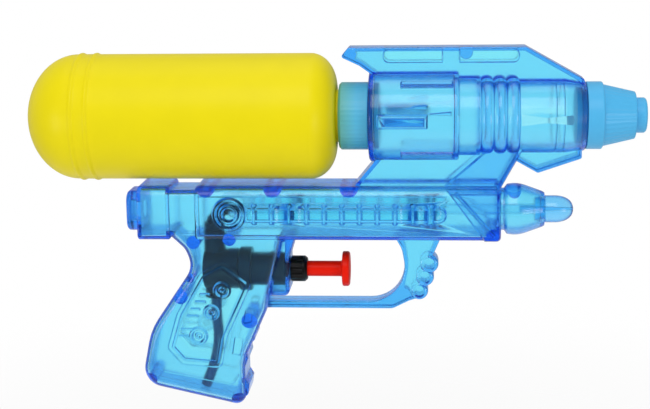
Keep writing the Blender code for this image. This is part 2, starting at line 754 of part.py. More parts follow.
# Turned profiles of the shell
def barrel_profile():
    """Outside of the barrel: drum, neck, rounded rings and fore end."""
    drum, neck, fore = DRUM_DIAMETER / 2, NECK_DIAMETER / 2, FORE_DIAMETER / 2
    mouth, valley = FORE_MOUTH_DIAMETER / 2, RING_VALLEY_DIAMETER / 2
    crest = RING_DIAMETER / 2 - valley
    profile = [
        (REAR_WALL_X, 0), (REAR_WALL_X, drum - BARREL_CHAMFER), (REAR_WALL_X + BARREL_CHAMFER, drum),
        (drum_front - BARREL_CHAMFER / 2, drum), (drum_front, drum - BARREL_CHAMFER / 2), (drum_front, neck),
        (neck_front, neck),
    ]
    for ring in range(RING_COUNT):
        start = neck_front + ring * RING_PITCH
        for step in range(RING_STEPS):
            angle = math.pi * step / RING_STEPS
            along = start + RING_PITCH / 2 * (1 - math.cos(angle))
            profile.append((along, valley + crest * math.sin(angle)))
    profile += [
        (rings_front, fore), (fore_front - FORE_TAPER, fore),
        (fore_front - BARREL_CHAMFER, mouth + BARREL_CHAMFER), (fore_front, mouth), (fore_front, 0),
    ]
    return profile


def barrel_hollow():
    """Inside of the barrel, one wall in from the outside."""
    drum, neck = DRUM_DIAMETER / 2 - WALL, NECK_DIAMETER / 2 - WALL
    rings, fore = RING_VALLEY_DIAMETER / 2 - WALL, FORE_DIAMETER / 2 - WALL
    mouth = FORE_MOUTH_DIAMETER / 2 - WALL + BARREL_CHAMFER
    rear, front = REAR_WALL_X + END_WALL, fore_front - END_WALL
    return [
        (rear, 0), (rear, drum), (drum_front - WALL, drum), (drum_front - WALL, neck),
        (neck_front - WALL, neck), (neck_front - WALL, rings), (rings_front + WALL, rings),
        (rings_front + WALL, fore), (fore_front - FORE_TAPER, fore), (front, mouth), (front, 0),
    ]


def muzzle_profile(depth):
    """Outside of the lower muzzle, or its inside when drawn in by depth."""
    root, widest, mouth = (size / 2 - depth for size in (
        MUZZLE_ROOT_DIAMETER, MUZZLE_DIAMETER, MUZZLE_MOUTH_DIAMETER))
    start = slide_front - SLIDE_TOP_RADIUS
    flare = slide_front + MUZZLE_ROOT_LENGTH
    belly = flare + MUZZLE_FLARE + MUZZLE_BELLY
    front = muzzle_front - (END_WALL if depth > 0 else 0)
    return [
        (start, 0), (start, root), (flare, root), (flare + MUZZLE_FLARE, widest - EDGE), (belly, widest),
        (belly + MUZZLE_BELLY, widest - FINE_EDGE), (muzzle_front - SLIDE_EDGE, mouth + FINE_EDGE),
        (front, mouth), (front, 0),
    ]


# Shell halves
def rectangle(x0, x1, z0, z1, rear_radius=0.0, front_radius=0.0):
    """Corners of an upright rectangle in XZ, with one radius at each end."""
    return [(x0, z0, rear_radius), (x1, z0, front_radius), (x1, z1, front_radius), (x0, z1, rear_radius)]


def relief(corners, side, height, rim=0.0):
    """A raised feature that stands height proud of a side wall and is rooted in it."""
    return plate(corners, side + height, rim, reach=RELIEF_ROOT - side)


def recess(corners, side, depth):
    """A cutter that sinks a feature into a side wall."""
    return plate(corners, side + CUT_MARGIN, reach=depth - side)


def raised_ring(x, z, side, height, inner, outer):
    """A round ridge that stands on a side wall."""
    bevel = min(height, (outer - inner) / 2) / 2
    root, top = side - RELIEF_ROOT, side + height
    profile = [(root, inner), (top, inner + bevel), (top, outer - bevel), (root, outer)]
    return turned(profile, (x, 0, z), NEAR, RING_SIDES)


def seam_posts():
    """Solid posts on the seam as (x, z, radius, height of the pin's axis, or None without a pin)."""
    beside_tower = TOWER_RADIUS + FIT + POST_RADIUS
    top, pin = slide_top - FIT, slide_top - POST_INSET
    fin_pin, foot_pin = fin_top - POST_INSET, slide_foot + POST_INSET
    muzzle_pin = SLIDE_AXIS_Z + MUZZLE_DIAMETER / 2 - POST_RADIUS
    heel, toe = GRIP_HEEL_X + HEEL_POST_RUN, GRIP_TOE_X - TOE_POST_RUN
    heel_pin, toe_pin = (grip_base(x) + POST_INSET + FINE_EDGE for x in (heel, toe))
    posts = [(x, top, WIDE_POST_RADIUS, pin) for x in SLIDE_POST_X]
    posts += [(x, z, POST_RADIUS + FINE_EDGE, z) for x, z in GRIP_POSTS]
    return posts + [
        (drum_front + POST_RADIUS, fin_pin, POST_RADIUS, fin_pin),
        (slide_front + 2 * POST_RADIUS, muzzle_pin, POST_RADIUS, muzzle_pin),
        (slide_front - POST_RADIUS - FINE_EDGE, foot_pin, POST_RADIUS, foot_pin),
        (*THUMB_POST, POST_RADIUS - EDGE, None),
        (toe, toe_pin, POST_RADIUS, toe_pin),
        (heel, heel_pin, POST_RADIUS, heel_pin),
        (TOWER_X + beside_tower, tower_top - POST_INSET, POST_RADIUS, None),
        (TOWER_X - beside_tower, tower_top - POST_INSET - SLIDE_EDGE, POST_RADIUS, None),
    ]


def outer_bodies():
    """Every outside form of one half, each reaching a little past the seam."""
    slide = bar(slide_section(0), SLIDE_REAR_X, slide_front, rim=SLIDE_EDGE)
    others = [
        bar(slide_section(WAIST_INSET), waist_rear - SEAM_OVERLAP, SLIDE_REAR_X + 2 * SEAM_OVERLAP),
        bar(slide_section(0), block_rear, waist_rear, rim=SEAM_OVERLAP),
        bar(knob_section(0), knob_rear, block_rear + 2 * SEAM_OVERLAP, rim=SLIDE_EDGE),
        turned(muzzle_profile(0), slide_axis, sides=MUZZLE_SIDES),
        turned(barrel_profile(), barrel_axis),
        plate(fin_outline(), FIN_WIDTH / 2, rim=EDGE),
        plate(keel_outline(), KEEL_WIDTH / 2, rim=EDGE),
        plate(web_outline(), WEB_WIDTH / 2),
        plate(front_web_outline(), WEB_WIDTH / 2 + FRONT_STEP),
        plate(front_slide_outline(), slide_side + FRONT_STEP, rim=FINE_EDGE),
        plate(grip_outline(), GRIP_WIDTH / 2, rim=GRIP_RIM),
        plate(finger_outline(), FINGER_WIDTH / 2, rim=EDGE),
        plate(guard_outline(), GUARD_WIDTH / 2, rim=FINE_EDGE),
        plate(boss_outline(), BOSS_WIDTH / 2, rim=SLIDE_EDGE),
    ]
    return slide, others


def hollow_bodies():
    """Every inside space of one half."""
    depth = 2 * SEAM_OVERLAP
    slide = bar(slide_section(WALL), SLIDE_REAR_X + WALL, slide_front - WALL)
    others = [
        bar(slide_section(WAIST_INSET + WALL), waist_rear - 2 * WALL, SLIDE_REAR_X + 2 * WALL),
        bar(slide_section(WALL), block_rear + WALL, waist_rear - WALL),
        bar(knob_section(KNOB_WALL), knob_rear + WALL, block_rear + 2 * WALL),
        turned(muzzle_profile(WALL), slide_axis, sides=MUZZLE_SIDES),
        turned(barrel_hollow(), barrel_axis),
        plate(inset(fin_outline(), WALL), FIN_WIDTH / 2 - WALL, reach=depth),
        plate(inset(keel_outline(), WALL), KEEL_WIDTH / 2 - WALL, reach=depth),
        plate(inset(web_outline(), WALL), WEB_WIDTH / 2 - WALL, reach=depth),
        plate(inset(grip_outline(), WALL), GRIP_WIDTH / 2 - WALL, rim=GRIP_RIM - WALL, reach=depth),
        plate(guard_hollow(), GUARD_WIDTH / 2 - WALL, reach=depth),
        plate(boss_hollow(), BOSS_WIDTH / 2 - WALL, reach=depth),
        rod(flange_front, boss_inside, PUMP_BARREL_RADIUS + FIT, pump_axis, sides=ROUND),
    ]
    return slide, others


def slide_relief():
    """Ring boss, ribbed rod and its rungs on the side of the slide."""
    rod_start = RING_BOSS_X + RING_BOSS_BORE
    half, tall = ROD_HEIGHT / 2, RUNG_HEIGHT / 2
    spot = (RING_BOSS_X, SLIDE_AXIS_Z, slide_side)
    features = [
        raised_ring(*spot, RING_BOSS_HEIGHT, RING_BOSS_BORE, RING_BOSS_RADIUS),
        raised_ring(*spot, INNER_RING_HEIGHT, INNER_RING_BORE, INNER_RING_RADIUS),
        relief(rectangle(rod_start, rod_start + ROD_LENGTH, SLIDE_AXIS_Z - half, SLIDE_AXIS_Z + half,
                         front_radius=half - FINE_EDGE), slide_side, ROD_RELIEF, rim=ROD_RELIEF),
    ]
    for rung in range(RUNG_COUNT + 1):
        width = END_RUNG_WIDTH if rung == RUNG_COUNT else RUNG_WIDTH
        middle = RING_BOSS_X + RING_BOSS_RADIUS + RUNG_START + rung * RUNG_PITCH
        outline = rectangle(middle - width / 2, middle + width / 2, SLIDE_AXIS_Z - tall, SLIDE_AXIS_Z + tall)
        features.append(relief(outline, slide_side, RUNG_RELIEF))
    return features


def drum_relief():
    """Ribs, latch shape, needle and leaf on the drum, and the waisted strip on the fore end."""
    side, axis_z = DRUM_DIAMETER / 2, BARREL_AXIS_Z
    rib_side = math.sqrt(side ** 2 - DRUM_RIB_OFFSET ** 2)
    rib_end = drum_front - DRUM_RIB_END
    features = []
    for z in (axis_z - DRUM_RIB_OFFSET, axis_z + DRUM_RIB_OFFSET):
        rib = rectangle(rib_end - DRUM_RIB_LENGTH, rib_end, z - DRUM_RIB_HEIGHT / 2, z + DRUM_RIB_HEIGHT / 2)
        features.append(relief(rib, rib_side, DRUM_RIB_RELIEF))
    latch_start = REAR_WALL_X + LATCH_START
    latch_end = latch_start + LATCH_LENGTH
    latch = rectangle(latch_start, latch_end, axis_z - LATCH_HEIGHT / 2, axis_z + LATCH_HEIGHT / 2, 0, EDGE)
    leaf_low, leaf_high = axis_z + LEAF_RISE, axis_z + LEAF_RISE + LEAF_HEIGHT
    leaf_start = latch_end - LEAF_LENGTH
    leaf = [(leaf_start, leaf_low, 0), (latch_end, leaf_low, EDGE), (latch_end, leaf_high, EDGE),
            (leaf_start + LEAF_LENGTH / 2, leaf_high - FINE_EDGE, 0)]
    needle_start, needle_end = latch_end + EDGE, drum_front - NEEDLE_END
    needle_low, needle_high = axis_z + NEEDLE_RISE, axis_z + NEEDLE_RISE + NEEDLE_HEIGHT
    needle = [(needle_start, needle_low + FINE_EDGE, 0), (needle_end, needle_low, 0),
              (needle_end, needle_high, 0), (needle_start, needle_high - EDGE, 0)]
    features += [relief(latch, side, LATCH_RELIEF), relief(leaf, side - FINE_EDGE, LATCH_RELIEF),
                 relief(needle, side, LATCH_RELIEF)]
    start, end, waist = rings_front + FINE_EDGE, fore_front - STRIP_END, rings_front + STRIP_WAIST_X
    tall, slim = STRIP_HEIGHT / 2, STRIP_WAIST_HEIGHT / 2
    strip = [(start, axis_z - tall, 0), (waist, axis_z - slim, 0), (end, axis_z - tall, 0),
             (end, axis_z + tall, 0), (waist, axis_z + slim, 0), (start, axis_z + tall, 0)]
    features.append(relief(strip, FORE_DIAMETER / 2, STRIP_RELIEF))
    return features


def fin_slots():
    """Two shallow slots in the fin, round at their outer ends."""
    high = fin_top - FIN_SLOT_TOP
    low, end = high - FIN_SLOT_HEIGHT, FIN_SLOT_HEIGHT / 2 - FIT
    rear = REAR_WALL_X + FIN_SLOT_START
    front = rear + FIN_SLOT_LENGTH + FIN_SLOT_GAP
    outlines = [rectangle(rear, rear + FIN_SLOT_LENGTH, low, high, end, FINE_EDGE),
                rectangle(front, front + FIN_SLOT_LENGTH, low, high, FINE_EDGE, end)]
    return [recess(outline, FIN_WIDTH / 2, FIN_SLOT_DEPTH) for outline in outlines]


def grip_recesses():
    """The sunk leaf-shaped panel on the grip and two finger marks ahead of it."""
    return [recess(outline, GRIP_WIDTH / 2, PANEL_DEPTH) for outline in (PANEL_CORNERS, *FINGER_MARKS)]


def panel_relief():
    """Three ring bosses and the short ribs behind them, raised from the floor of the panel."""
    floor = GRIP_WIDTH / 2 - PANEL_DEPTH
    features = [raised_ring(x, z, floor, PANEL_DEPTH + PANEL_RING_RISE, inner, outer)
                for x, z, inner, outer in PANEL_RINGS]
    for start, end, z in PANEL_RIBS:
        outline = rectangle(start, end, z - PANEL_RIB / 2, z + PANEL_RIB / 2)
        features.append(relief(outline, floor, PANEL_DEPTH))
    return features


def tidy(thing):
    """Merge coplanar facets that the Booleans left behind."""
    mesh = bmesh.new()
    mesh.from_mesh(thing.data)
    bmesh.ops.dissolve_limit(mesh, angle_limit=FLAT_ANGLE, verts=mesh.verts, edges=mesh.edges)
    mesh.to_mesh(thing.data)
    mesh.free()


def far_side():
    """Everything past the seam, as a cutter that leaves half the fit on this side."""
    rear, front = knob_rear - CUT_MARGIN, max(fore_front, muzzle_front) + CUT_MARGIN
    low, high = grip_base(GRIP_TOE_X) - CUT_MARGIN, fin_top + CUT_MARGIN
    return plate(rectangle(rear, front, low, high), FIT / 2, reach=SLIDE_WIDTH + DRUM_DIAMETER)


def housing_halves(material):
    """Both halves of the shell: one modelled, the other its mirror image with the pins."""
    shell, forms = outer_bodies()
    join(shell, *forms)
    hollow, spaces = hollow_bodies()
    join(hollow, *spaces)
    posts = seam_posts()
    deepest = slide_side + CUT_MARGIN
    cut(hollow, *[rod(-deepest, deepest, radius, (x, 0, z), NEAR, POST_SIDES) for x, z, radius, _ in posts])
    cut(shell, hollow)
    join(shell, *slide_relief(), *drum_relief())
    cut(shell, *fin_slots(), *grip_recesses())
    join(shell, *panel_relief())
    deep = 2 * END_WALL
    cut(shell,
        rod(REAR_WALL_X - CUT_MARGIN, REAR_WALL_X + deep, COLLAR_NECK_RADIUS + FIT, barrel_axis, sides=ROUND),
        rod(fore_front - deep, fore_front + CUT_MARGIN, NOSE_SPIGOT_RADIUS + FIT, barrel_axis, sides=ROUND),
        rod(muzzle_front - deep, muzzle_front + CUT_MARGIN, NOZZLE_SPIGOT_RADIUS + FIT, slide_axis),
        rod(snout_rear, BOSS_FRONT_X + CUT_MARGIN, SNOUT_RADIUS + FIT, pump_axis),
        rod(PUMP_JOINT_X - PUMP_SKIRT - FIT, flange_front + FIT, PUMP_FLANGE_RADIUS + FIT, pump_axis,
            sides=ROUND),
        far_side())
    tidy(shell)

    mirrored = bmesh.new()
    mirrored.from_mesh(shell.data)
    mirrored.transform(Matrix.Diagonal((1, -1, 1, 1)))
    bmesh.ops.reverse_faces(mirrored, faces=mirrored.faces)
    other = as_object("other", mirrored)
    pinned = [(x, 0, pin) for x, _, _, pin in posts if pin is not None]
    join(other, *[rod(-SEAM_OVERLAP, PIN_LENGTH, PIN_RADIUS, spot, NEAR, PIN_SIDES) for spot in pinned])
    cut(shell, *[rod(-SEAM_OVERLAP, PIN_LENGTH + FIT, PIN_RADIUS + FIT, spot, NEAR, PIN_SIDES)
                 for spot in pinned])
    part(shell, "housing_right", material)
    part(other, "housing_left", material.copy())


# Tank, its collar and its seal
def quarter(steps):
    """Angles of a quarter turn in equal steps."""
    return [math.pi / 2 * step / steps for step in range(steps + 1)]


def tank_profile():
    """Blown bottle: domed end, two bands, straight side, round shoulder and screw neck, then the inside."""
    radius = TANK_DIAMETER / 2
    inner = radius - TANK_WALL
    dome_x = tank_rear + TANK_DOME_LENGTH
    shoulder_x = tank_shoulder - TANK_SHOULDER_LENGTH
    drop = radius - TANK_SHOULDER_RADIUS
    outside = [(dome_x - TANK_DOME_LENGTH * math.cos(a), radius * math.sin(a)) for a in quarter(DOME_STEPS)]
    for start in (dome_x, dome_x + TANK_BAND_PITCH):
        band = radius + TANK_BAND_RELIEF
        outside += [(start + TANK_BAND_WIDTH / 4, band), (start + TANK_BAND_WIDTH * 3 / 4, band),
                    (start + TANK_BAND_WIDTH, radius)]
    outside += [(shoulder_x + TANK_SHOULDER_LENGTH * math.sin(a), radius - drop * (1 - math.cos(a)))
                for a in quarter(SHOULDER_STEPS)]
    outside += [(tank_shoulder, TANK_NECK_RADIUS), (tank_mouth, TANK_NECK_RADIUS),
                (tank_mouth, TANK_NECK_BORE)]
    inside = [(dome_x - (TANK_DOME_LENGTH - TANK_WALL) * math.cos(a), inner * math.sin(a))
              for a in quarter(DOME_STEPS)]
    depth = TANK_SHOULDER_LENGTH - TANK_WALL
    inside += [(shoulder_x + depth * math.sin(a), inner - drop * (1 - math.cos(a)))
               for a in quarter(SHOULDER_STEPS)[:-1]]
    inside.append((tank_shoulder - TANK_WALL, TANK_NECK_BORE))
    return outside + inside[::-1]


def collar_profile():
    """Screw socket for the tank, with a neck and a flange that the shell's rear wall traps."""
    outer = COLLAR_DIAMETER / 2
    flange_rear = REAR_WALL_X + END_WALL + FIT
    flange_end = flange_rear + COLLAR_FLANGE
    return [
        (collar_rear, COLLAR_SOCKET_RADIUS), (collar_rear, outer - COLLAR_CHAMFER),
        (collar_rear + COLLAR_CHAMFER, outer), (collar_front, outer), (collar_front, COLLAR_NECK_RADIUS),
        (flange_rear, COLLAR_NECK_RADIUS), (flange_rear, COLLAR_FLANGE_RADIUS),
        (flange_end, COLLAR_FLANGE_RADIUS), (flange_end, FLOW_RADIUS), (socket_end, FLOW_RADIUS),
        (socket_end, COLLAR_SOCKET_RADIUS),
    ]


def seal_profile():
    """Soft plug in the tank's mouth: a flange on the rim and a skirt in the bore."""
    skirt = TANK_NECK_BORE - FIT
    rear, front = tank_mouth + FIT, socket_end - FIT
    return [
        (tank_mouth - SEAL_SKIRT, FLOW_RADIUS), (tank_mouth - SEAL_SKIRT, skirt), (rear, skirt),
        (rear, TANK_NECK_RADIUS), (front, TANK_NECK_RADIUS), (front, FLOW_RADIUS),
    ]


def nose_profile():
    """Stepped cone with a blind bore, and a spigot and flange that the shell's front wall traps."""
    lock = fore_front - END_WALL - FIT
    base_rear = fore_front + FIT
    base_front = base_rear + NOSE_BASE_LENGTH
    cone_front = base_front + NOSE_CONE_LENGTH
    tip_front = cone_front + NOSE_TIP_LENGTH
    bore_end = tip_front - NOSE_BORE_DEPTH
    base, tip = NOSE_BASE_DIAMETER / 2, NOSE_TIP_DIAMETER / 2
    return [
        (lock - END_WALL, 0), (lock - END_WALL, NOSE_FLANGE_RADIUS), (lock, NOSE_FLANGE_RADIUS),
        (lock, NOSE_SPIGOT_RADIUS), (base_rear, NOSE_SPIGOT_RADIUS), (base_rear, base),
        (base_front - EDGE, base), (base_front, base - EDGE), (base_front, NOSE_CONE_DIAMETER / 2),
        (cone_front, NOSE_CONE_TIP_DIAMETER / 2), (cone_front, tip), (tip_front - NOSE_TIP_EDGE, tip),
        (tip_front - FINE_EDGE, tip - FINE_EDGE), (tip_front, tip - NOSE_TIP_EDGE),
        (tip_front, NOSE_BORE_RADIUS), (bore_end, NOSE_BORE_RADIUS), (bore_end, 0),
    ]


def nozzle_profile():
    """Bullet nozzle: barb for the tube, trapped flange, spigot and round nose with a jet hole."""
    radius, lip = NOZZLE_DIAMETER / 2, NOZZLE_SPIGOT_RADIUS + NOZZLE_LIP
    tip = nozzle_shoulder + NOZZLE_LENGTH
    nose = nozzle_shoulder + NOZZLE_STRAIGHT
    barb = nozzle_flange_rear - BARB_LENGTH
    profile = [
        (barb, WATERWAY_RADIUS), (barb, BARB_RADIUS), (nozzle_flange_rear, BARB_RADIUS),
        (nozzle_flange_rear, lip), (nozzle_flange_front, lip), (nozzle_flange_front, NOZZLE_SPIGOT_RADIUS),
        (nozzle_shoulder, NOZZLE_SPIGOT_RADIUS), (nozzle_shoulder, radius - FINE_EDGE),
        (nozzle_shoulder + FINE_EDGE, radius),
    ]
    profile += [(nose + (tip - nose) * math.sin(a), radius * math.cos(a) ** 0.8)
                for a in quarter(NOZZLE_STEPS)[:-1]]
    profile += [(tip, 2 * NOZZLE_JET_RADIUS), (tip, NOZZLE_JET_RADIUS), (nose, NOZZLE_JET_RADIUS),
                (nose - SEAT_CONE, WATERWAY_RADIUS)]
    return profile


# Pump
def ball(centre, radius):
    """A ball."""
    arc = [math.pi * step / BALL_STEPS for step in range(BALL_STEPS + 1)]
    profile = [(-radius * math.cos(a), radius * math.sin(a)) for a in arc]
    return turned(profile, centre, UP, BALL_SIDES)


def pump_barrel_profile():
    """Pump cylinder: rear skirt and flange, body, and the snout that passes through the boss."""
    skirt_inside = PUMP_FLANGE_RADIUS - PUMP_SKIRT_WALL
    skirt_rear = PUMP_JOINT_X - PUMP_SKIRT
    return [
        (skirt_rear, skirt_inside), (skirt_rear, PUMP_FLANGE_RADIUS), (flange_front, PUMP_FLANGE_RADIUS),
        (flange_front, PUMP_BARREL_RADIUS), (snout_rear, PUMP_BARREL_RADIUS), (snout_rear, SNOUT_RADIUS),
        (snout_front, SNOUT_RADIUS), (snout_front, ROD_RADIUS + FIT), (bore_front, ROD_RADIUS + FIT),
        (bore_front, BORE_RADIUS), (PUMP_JOINT_X, BORE_RADIUS), (PUMP_JOINT_X, skirt_inside),
    ]


def valve_block():
    """Rear end of the pump: the bore's closed end, and a tower with the two ball valves."""
    joint_rear = PUMP_JOINT_X - FIT
    step = joint_rear - PUMP_SKIRT - FIT
    lip = PUMP_FLANGE_RADIUS - PUMP_SKIRT_WALL - FIT
    rear, chamfer = VALVE_BLOCK_REAR_X, VALVE_BLOCK_CHAMFER
    block = turned([
        (rear, 0), (rear, VALVE_BLOCK_RADIUS - chamfer), (rear + chamfer, VALVE_BLOCK_RADIUS),
        (step, VALVE_BLOCK_RADIUS), (step, lip), (joint_rear, lip), (joint_rear, 0)], pump_axis)
    join(block, rod(tower_bottom, tower_top, TOWER_RADIUS, tower_axis, UP, ROUND))
    cage_top = inlet_seat + 2 * BALL_RADIUS + FIT + BALL_LIFT
    seat_slope = BALL_CHAMBER_RADIUS - THROAT_RADIUS
    low, high = tower_bottom - CUT_MARGIN, tower_top + CUT_MARGIN
    ways = [
        (low, 0), (low, BALL_CHAMBER_RADIUS), (cage_top, BALL_CHAMBER_RADIUS), (cage_top, THROAT_RADIUS),
        (outlet_seat, THROAT_RADIUS), (outlet_seat + seat_slope, BALL_CHAMBER_RADIUS),
        (high, BALL_CHAMBER_RADIUS), (high, 0),
    ]
    cut(block,
        rod(BORE_REAR_X, PUMP_JOINT_X, BORE_RADIUS, pump_axis, sides=ROUND),
        turned(ways, tower_axis, UP, SMALL_ROUND),
        rod(TOWER_X, BORE_REAR_X + CUT_MARGIN, THROAT_RADIUS, pump_axis))
    return block


def inlet_fitting_profile():
    """Plug under the tower: valve seat on top, flange, and a barb for the intake tube."""
    flange_top = tower_bottom - FIT
    flange_low = flange_top - END_WALL
    barb_low = flange_low - BARB_LENGTH
    plug = BALL_CHAMBER_RADIUS - FIT
    return [
        (barb_low, WATERWAY_RADIUS), (barb_low, BARB_RADIUS), (flange_low, BARB_RADIUS),
        (flange_low, TOWER_RADIUS), (flange_top, TOWER_RADIUS), (flange_top, plug), (inlet_seat, plug),
        (inlet_seat, THROAT_RADIUS), (inlet_seat - SEAT_CONE, WATERWAY_RADIUS),
    ]


def outlet_elbow():
    """Elbow on top of the tower: plug, collar, slanted arm with two knuckles, and a barb for the tube."""
    plug = BALL_CHAMBER_RADIUS - FIT
    plug_low = outlet_seat + BALL_CHAMBER_RADIUS - THROAT_RADIUS + 2 * BALL_RADIUS + BALL_LIFT
    collar_low = tower_top + FIT
    collar_high = collar_low + ELBOW_COLLAR
    knee = Vector((TOWER_X, 0, collar_high + ELBOW_KNEE_RISE))
    mouth = Vector((elbow_front - ELBOW_MOUTH, 0, SLIDE_AXIS_Z))
    slant = mouth - knee
    barb_end = elbow_front + BARB_LENGTH
    elbow = turned([
        (plug_low, 0), (plug_low, plug), (collar_low, plug), (collar_low, ELBOW_COLLAR_RADIUS),
        (collar_high, ELBOW_COLLAR_RADIUS), (collar_high, ELBOW_ARM_RADIUS), (knee.z, ELBOW_ARM_RADIUS),
        (knee.z, 0)], tower_axis, UP, SMALL_ROUND)
    join(elbow,
         ball(knee, ELBOW_RADIUS),
         rod(0, slant.length, ELBOW_ARM_RADIUS, knee, slant),
         ball(mouth, ELBOW_RADIUS),
         turned([(mouth.x, 0), (mouth.x, ELBOW_ARM_RADIUS), (elbow_front, ELBOW_ARM_RADIUS),
                 (elbow_front, BARB_RADIUS), (barb_end, BARB_RADIUS), (barb_end, 0)],
                slide_axis, sides=SMALL_ROUND))
    cut(elbow,
        rod(plug_low - CUT_MARGIN, knee.z, WATERWAY_RADIUS, tower_axis, UP, WATERWAY_SIDES),
        rod(-FIT, slant.length + FIT, WATERWAY_RADIUS, knee, slant, WATERWAY_SIDES),
        rod(mouth.x, barb_end + CUT_MARGIN, WATERWAY_RADIUS, slide_axis, sides=WATERWAY_SIDES))
    return elbow


def nut_profile():
    """Cap nut that clamps the snout and its seal to the boss."""
    bore, snug = SNOUT_RADIUS + FIT, ROD_RADIUS + FIT
    return [
        (nut_rear, bore), (nut_rear, NUT_RADIUS - FIT), (nut_rear + FIT, NUT_RADIUS),
        (nut_front - NUT_CHAMFER, NUT_RADIUS), (nut_front - FINE_EDGE, NUT_RADIUS - FINE_EDGE),
        (nut_front, NUT_RADIUS - NUT_CHAMFER), (nut_front, snug), (nut_step, snug), (nut_step, bore),
    ]


def tube_profile(start, end, bore, radius):
    """A plain ring or straight tube."""
    return [(start, bore), (start, radius), (end, radius), (end, bore)]


def trigger_profile():
    """Red plunger: finger-wide disc, rod, and a piston head with a groove for the cup."""
    disc_front = disc_rear + DISC_THICKNESS
    groove_rear, groove_front = head_rear + HEAD_RETAINER, cup_front + FIT
    head = BORE_RADIUS - FIT
    return [
        (head_rear, 0), (head_rear, HEAD_RETAINER_RADIUS), (groove_rear, HEAD_RETAINER_RADIUS),
        (groove_rear, HEAD_STEM_RADIUS), (groove_front, HEAD_STEM_RADIUS), (groove_front, head),
        (head_front, head), (head_front, ROD_RADIUS), (disc_rear - ROD_FLARE, ROD_RADIUS),
        (disc_rear, ROD_RADIUS + ROD_FLARE),
        (disc_rear, DISC_RADIUS - EDGE), (disc_rear + EDGE, DISC_RADIUS), (disc_front - EDGE, DISC_RADIUS),
        (disc_front, DISC_RADIUS - EDGE), (disc_front, 0),
    ]


def return_spring():
    """One unbroken helix of wire between the bore's end and the piston head."""
    start = BORE_REAR_X + FIT + SPRING_WIRE / 2
    end = head_rear - FIT - SPRING_WIRE / 2
    count = round(SPRING_TURNS * SPRING_POINTS)
    curve = bpy.data.curves.new("return_spring", "CURVE")
    curve.dimensions = "3D"
    curve.bevel_depth = SPRING_WIRE / 2
    curve.bevel_resolution = 1
    curve.use_fill_caps = True
    spline = curve.splines.new("POLY")
    spline.points.add(count)
    route = []
    for index, point in enumerate(spline.points):
        angle = math.tau * SPRING_TURNS * index / count
        along = start + (end - start) * index / count
        across = SPRING_RADIUS * Vector((0, math.cos(angle), math.sin(angle)))
        route.append(Vector((along, 0, PUMP_AXIS_Z)) + across)
        point.co = (*route[-1], 1.0)
    far = SPRING_POINTS // 2
    gap = min((a - b).length for i, a in enumerate(route) for b in route[i + far:]) - SPRING_WIRE
    print(f"return_spring: least gap to itself {gap * 1000:.2f} mm")
    thing = bpy.data.objects.new("return_spring", curve)
    bpy.context.scene.collection.objects.link(thing)
    return thing


def bent_rod(route, radius, extra):
    """A round bar along a smooth curve through the route, longer by extra at both ends."""
    curve = bpy.data.curves.new("bent_rod", "CURVE")
    curve.dimensions = "3D"
    curve.bevel_depth = radius
    curve.bevel_resolution = 2
    curve.use_fill_caps = True
    curve.resolution_u = 3
    spline = curve.splines.new("BEZIER")
    spline.bezier_points.add(len(route) - 1)
    for point, place in zip(spline.bezier_points, route):
        point.co = place
        point.handle_left_type = point.handle_right_type = "AUTO"
    for end, inner in ((0, 1), (-1, -2)):
        outward = Vector(route[end]) - Vector(route[inner])
        spline.bezier_points[end].co += outward.normalized() * extra
    guide = bpy.data.objects.new("bent_rod", curve)
    bpy.context.scene.collection.objects.link(guide)
    evaluated = guide.evaluated_get(bpy.context.evaluated_depsgraph_get())
    mesh = bmesh.new()
    mesh.from_mesh(bpy.data.meshes.new_from_object(evaluated))
    bpy.data.objects.remove(guide, do_unlink=True)
    bmesh.ops.remove_doubles(mesh, verts=mesh.verts, dist=1e-6)
    bmesh.ops.recalc_face_normals(mesh, faces=mesh.faces)
    return as_object("bent_rod", mesh)


def intake_tube():
    """Soft tube that hangs from the inlet fitting to the foot of the grip, leaning to its heel."""
    top = tower_bottom - 2 * FIT - END_WALL
    foot = grip_base(TOWER_X) + INTAKE_CLEARANCE
    straight = (BARB_LENGTH + SEAM_OVERLAP) / (top - foot)
    leans = ((0.0, 0.0), (straight, 0.0), (0.45, -0.10), (0.65, 0.10), (0.85, 0.55), (1.0, 1.0))
    route = [(TOWER_X - INTAKE_LEAN * lean, 0, top + (foot - top) * share) for share, lean in leans]
    return cut(bent_rod(route, TUBE_RADIUS, 0.0), bent_rod(route, TUBE_BORE, CUT_MARGIN))


def tank_group():
    """Tank, seal and collar."""
    part(turned(tank_profile(), barrel_axis), "tank", finish("yellow tank", "#e9d70e", 0.35), barrel_axis)
    part(turned(seal_profile(), barrel_axis), "mouth_seal", finish("white seal", "#e8e8e2", 0.6), barrel_axis)
    part(turned(collar_profile(), barrel_axis), "tank_collar",
         finish("sky blue collar", "#55b4dc", 0.35), barrel_axis)


def front_group():
    """Nose of the upper barrel and nozzle of the lower one."""
    part(turned(nose_profile(), barrel_axis), "barrel_nose",
         finish("sky blue nose", "#55b9e8", 0.35), barrel_axis)
    part(turned(nozzle_profile(), slide_axis, sides=MUZZLE_SIDES), "nozzle",
         finish("clear blue nozzle", "#57c6fa", 0.1, alpha=0.7), slide_axis)


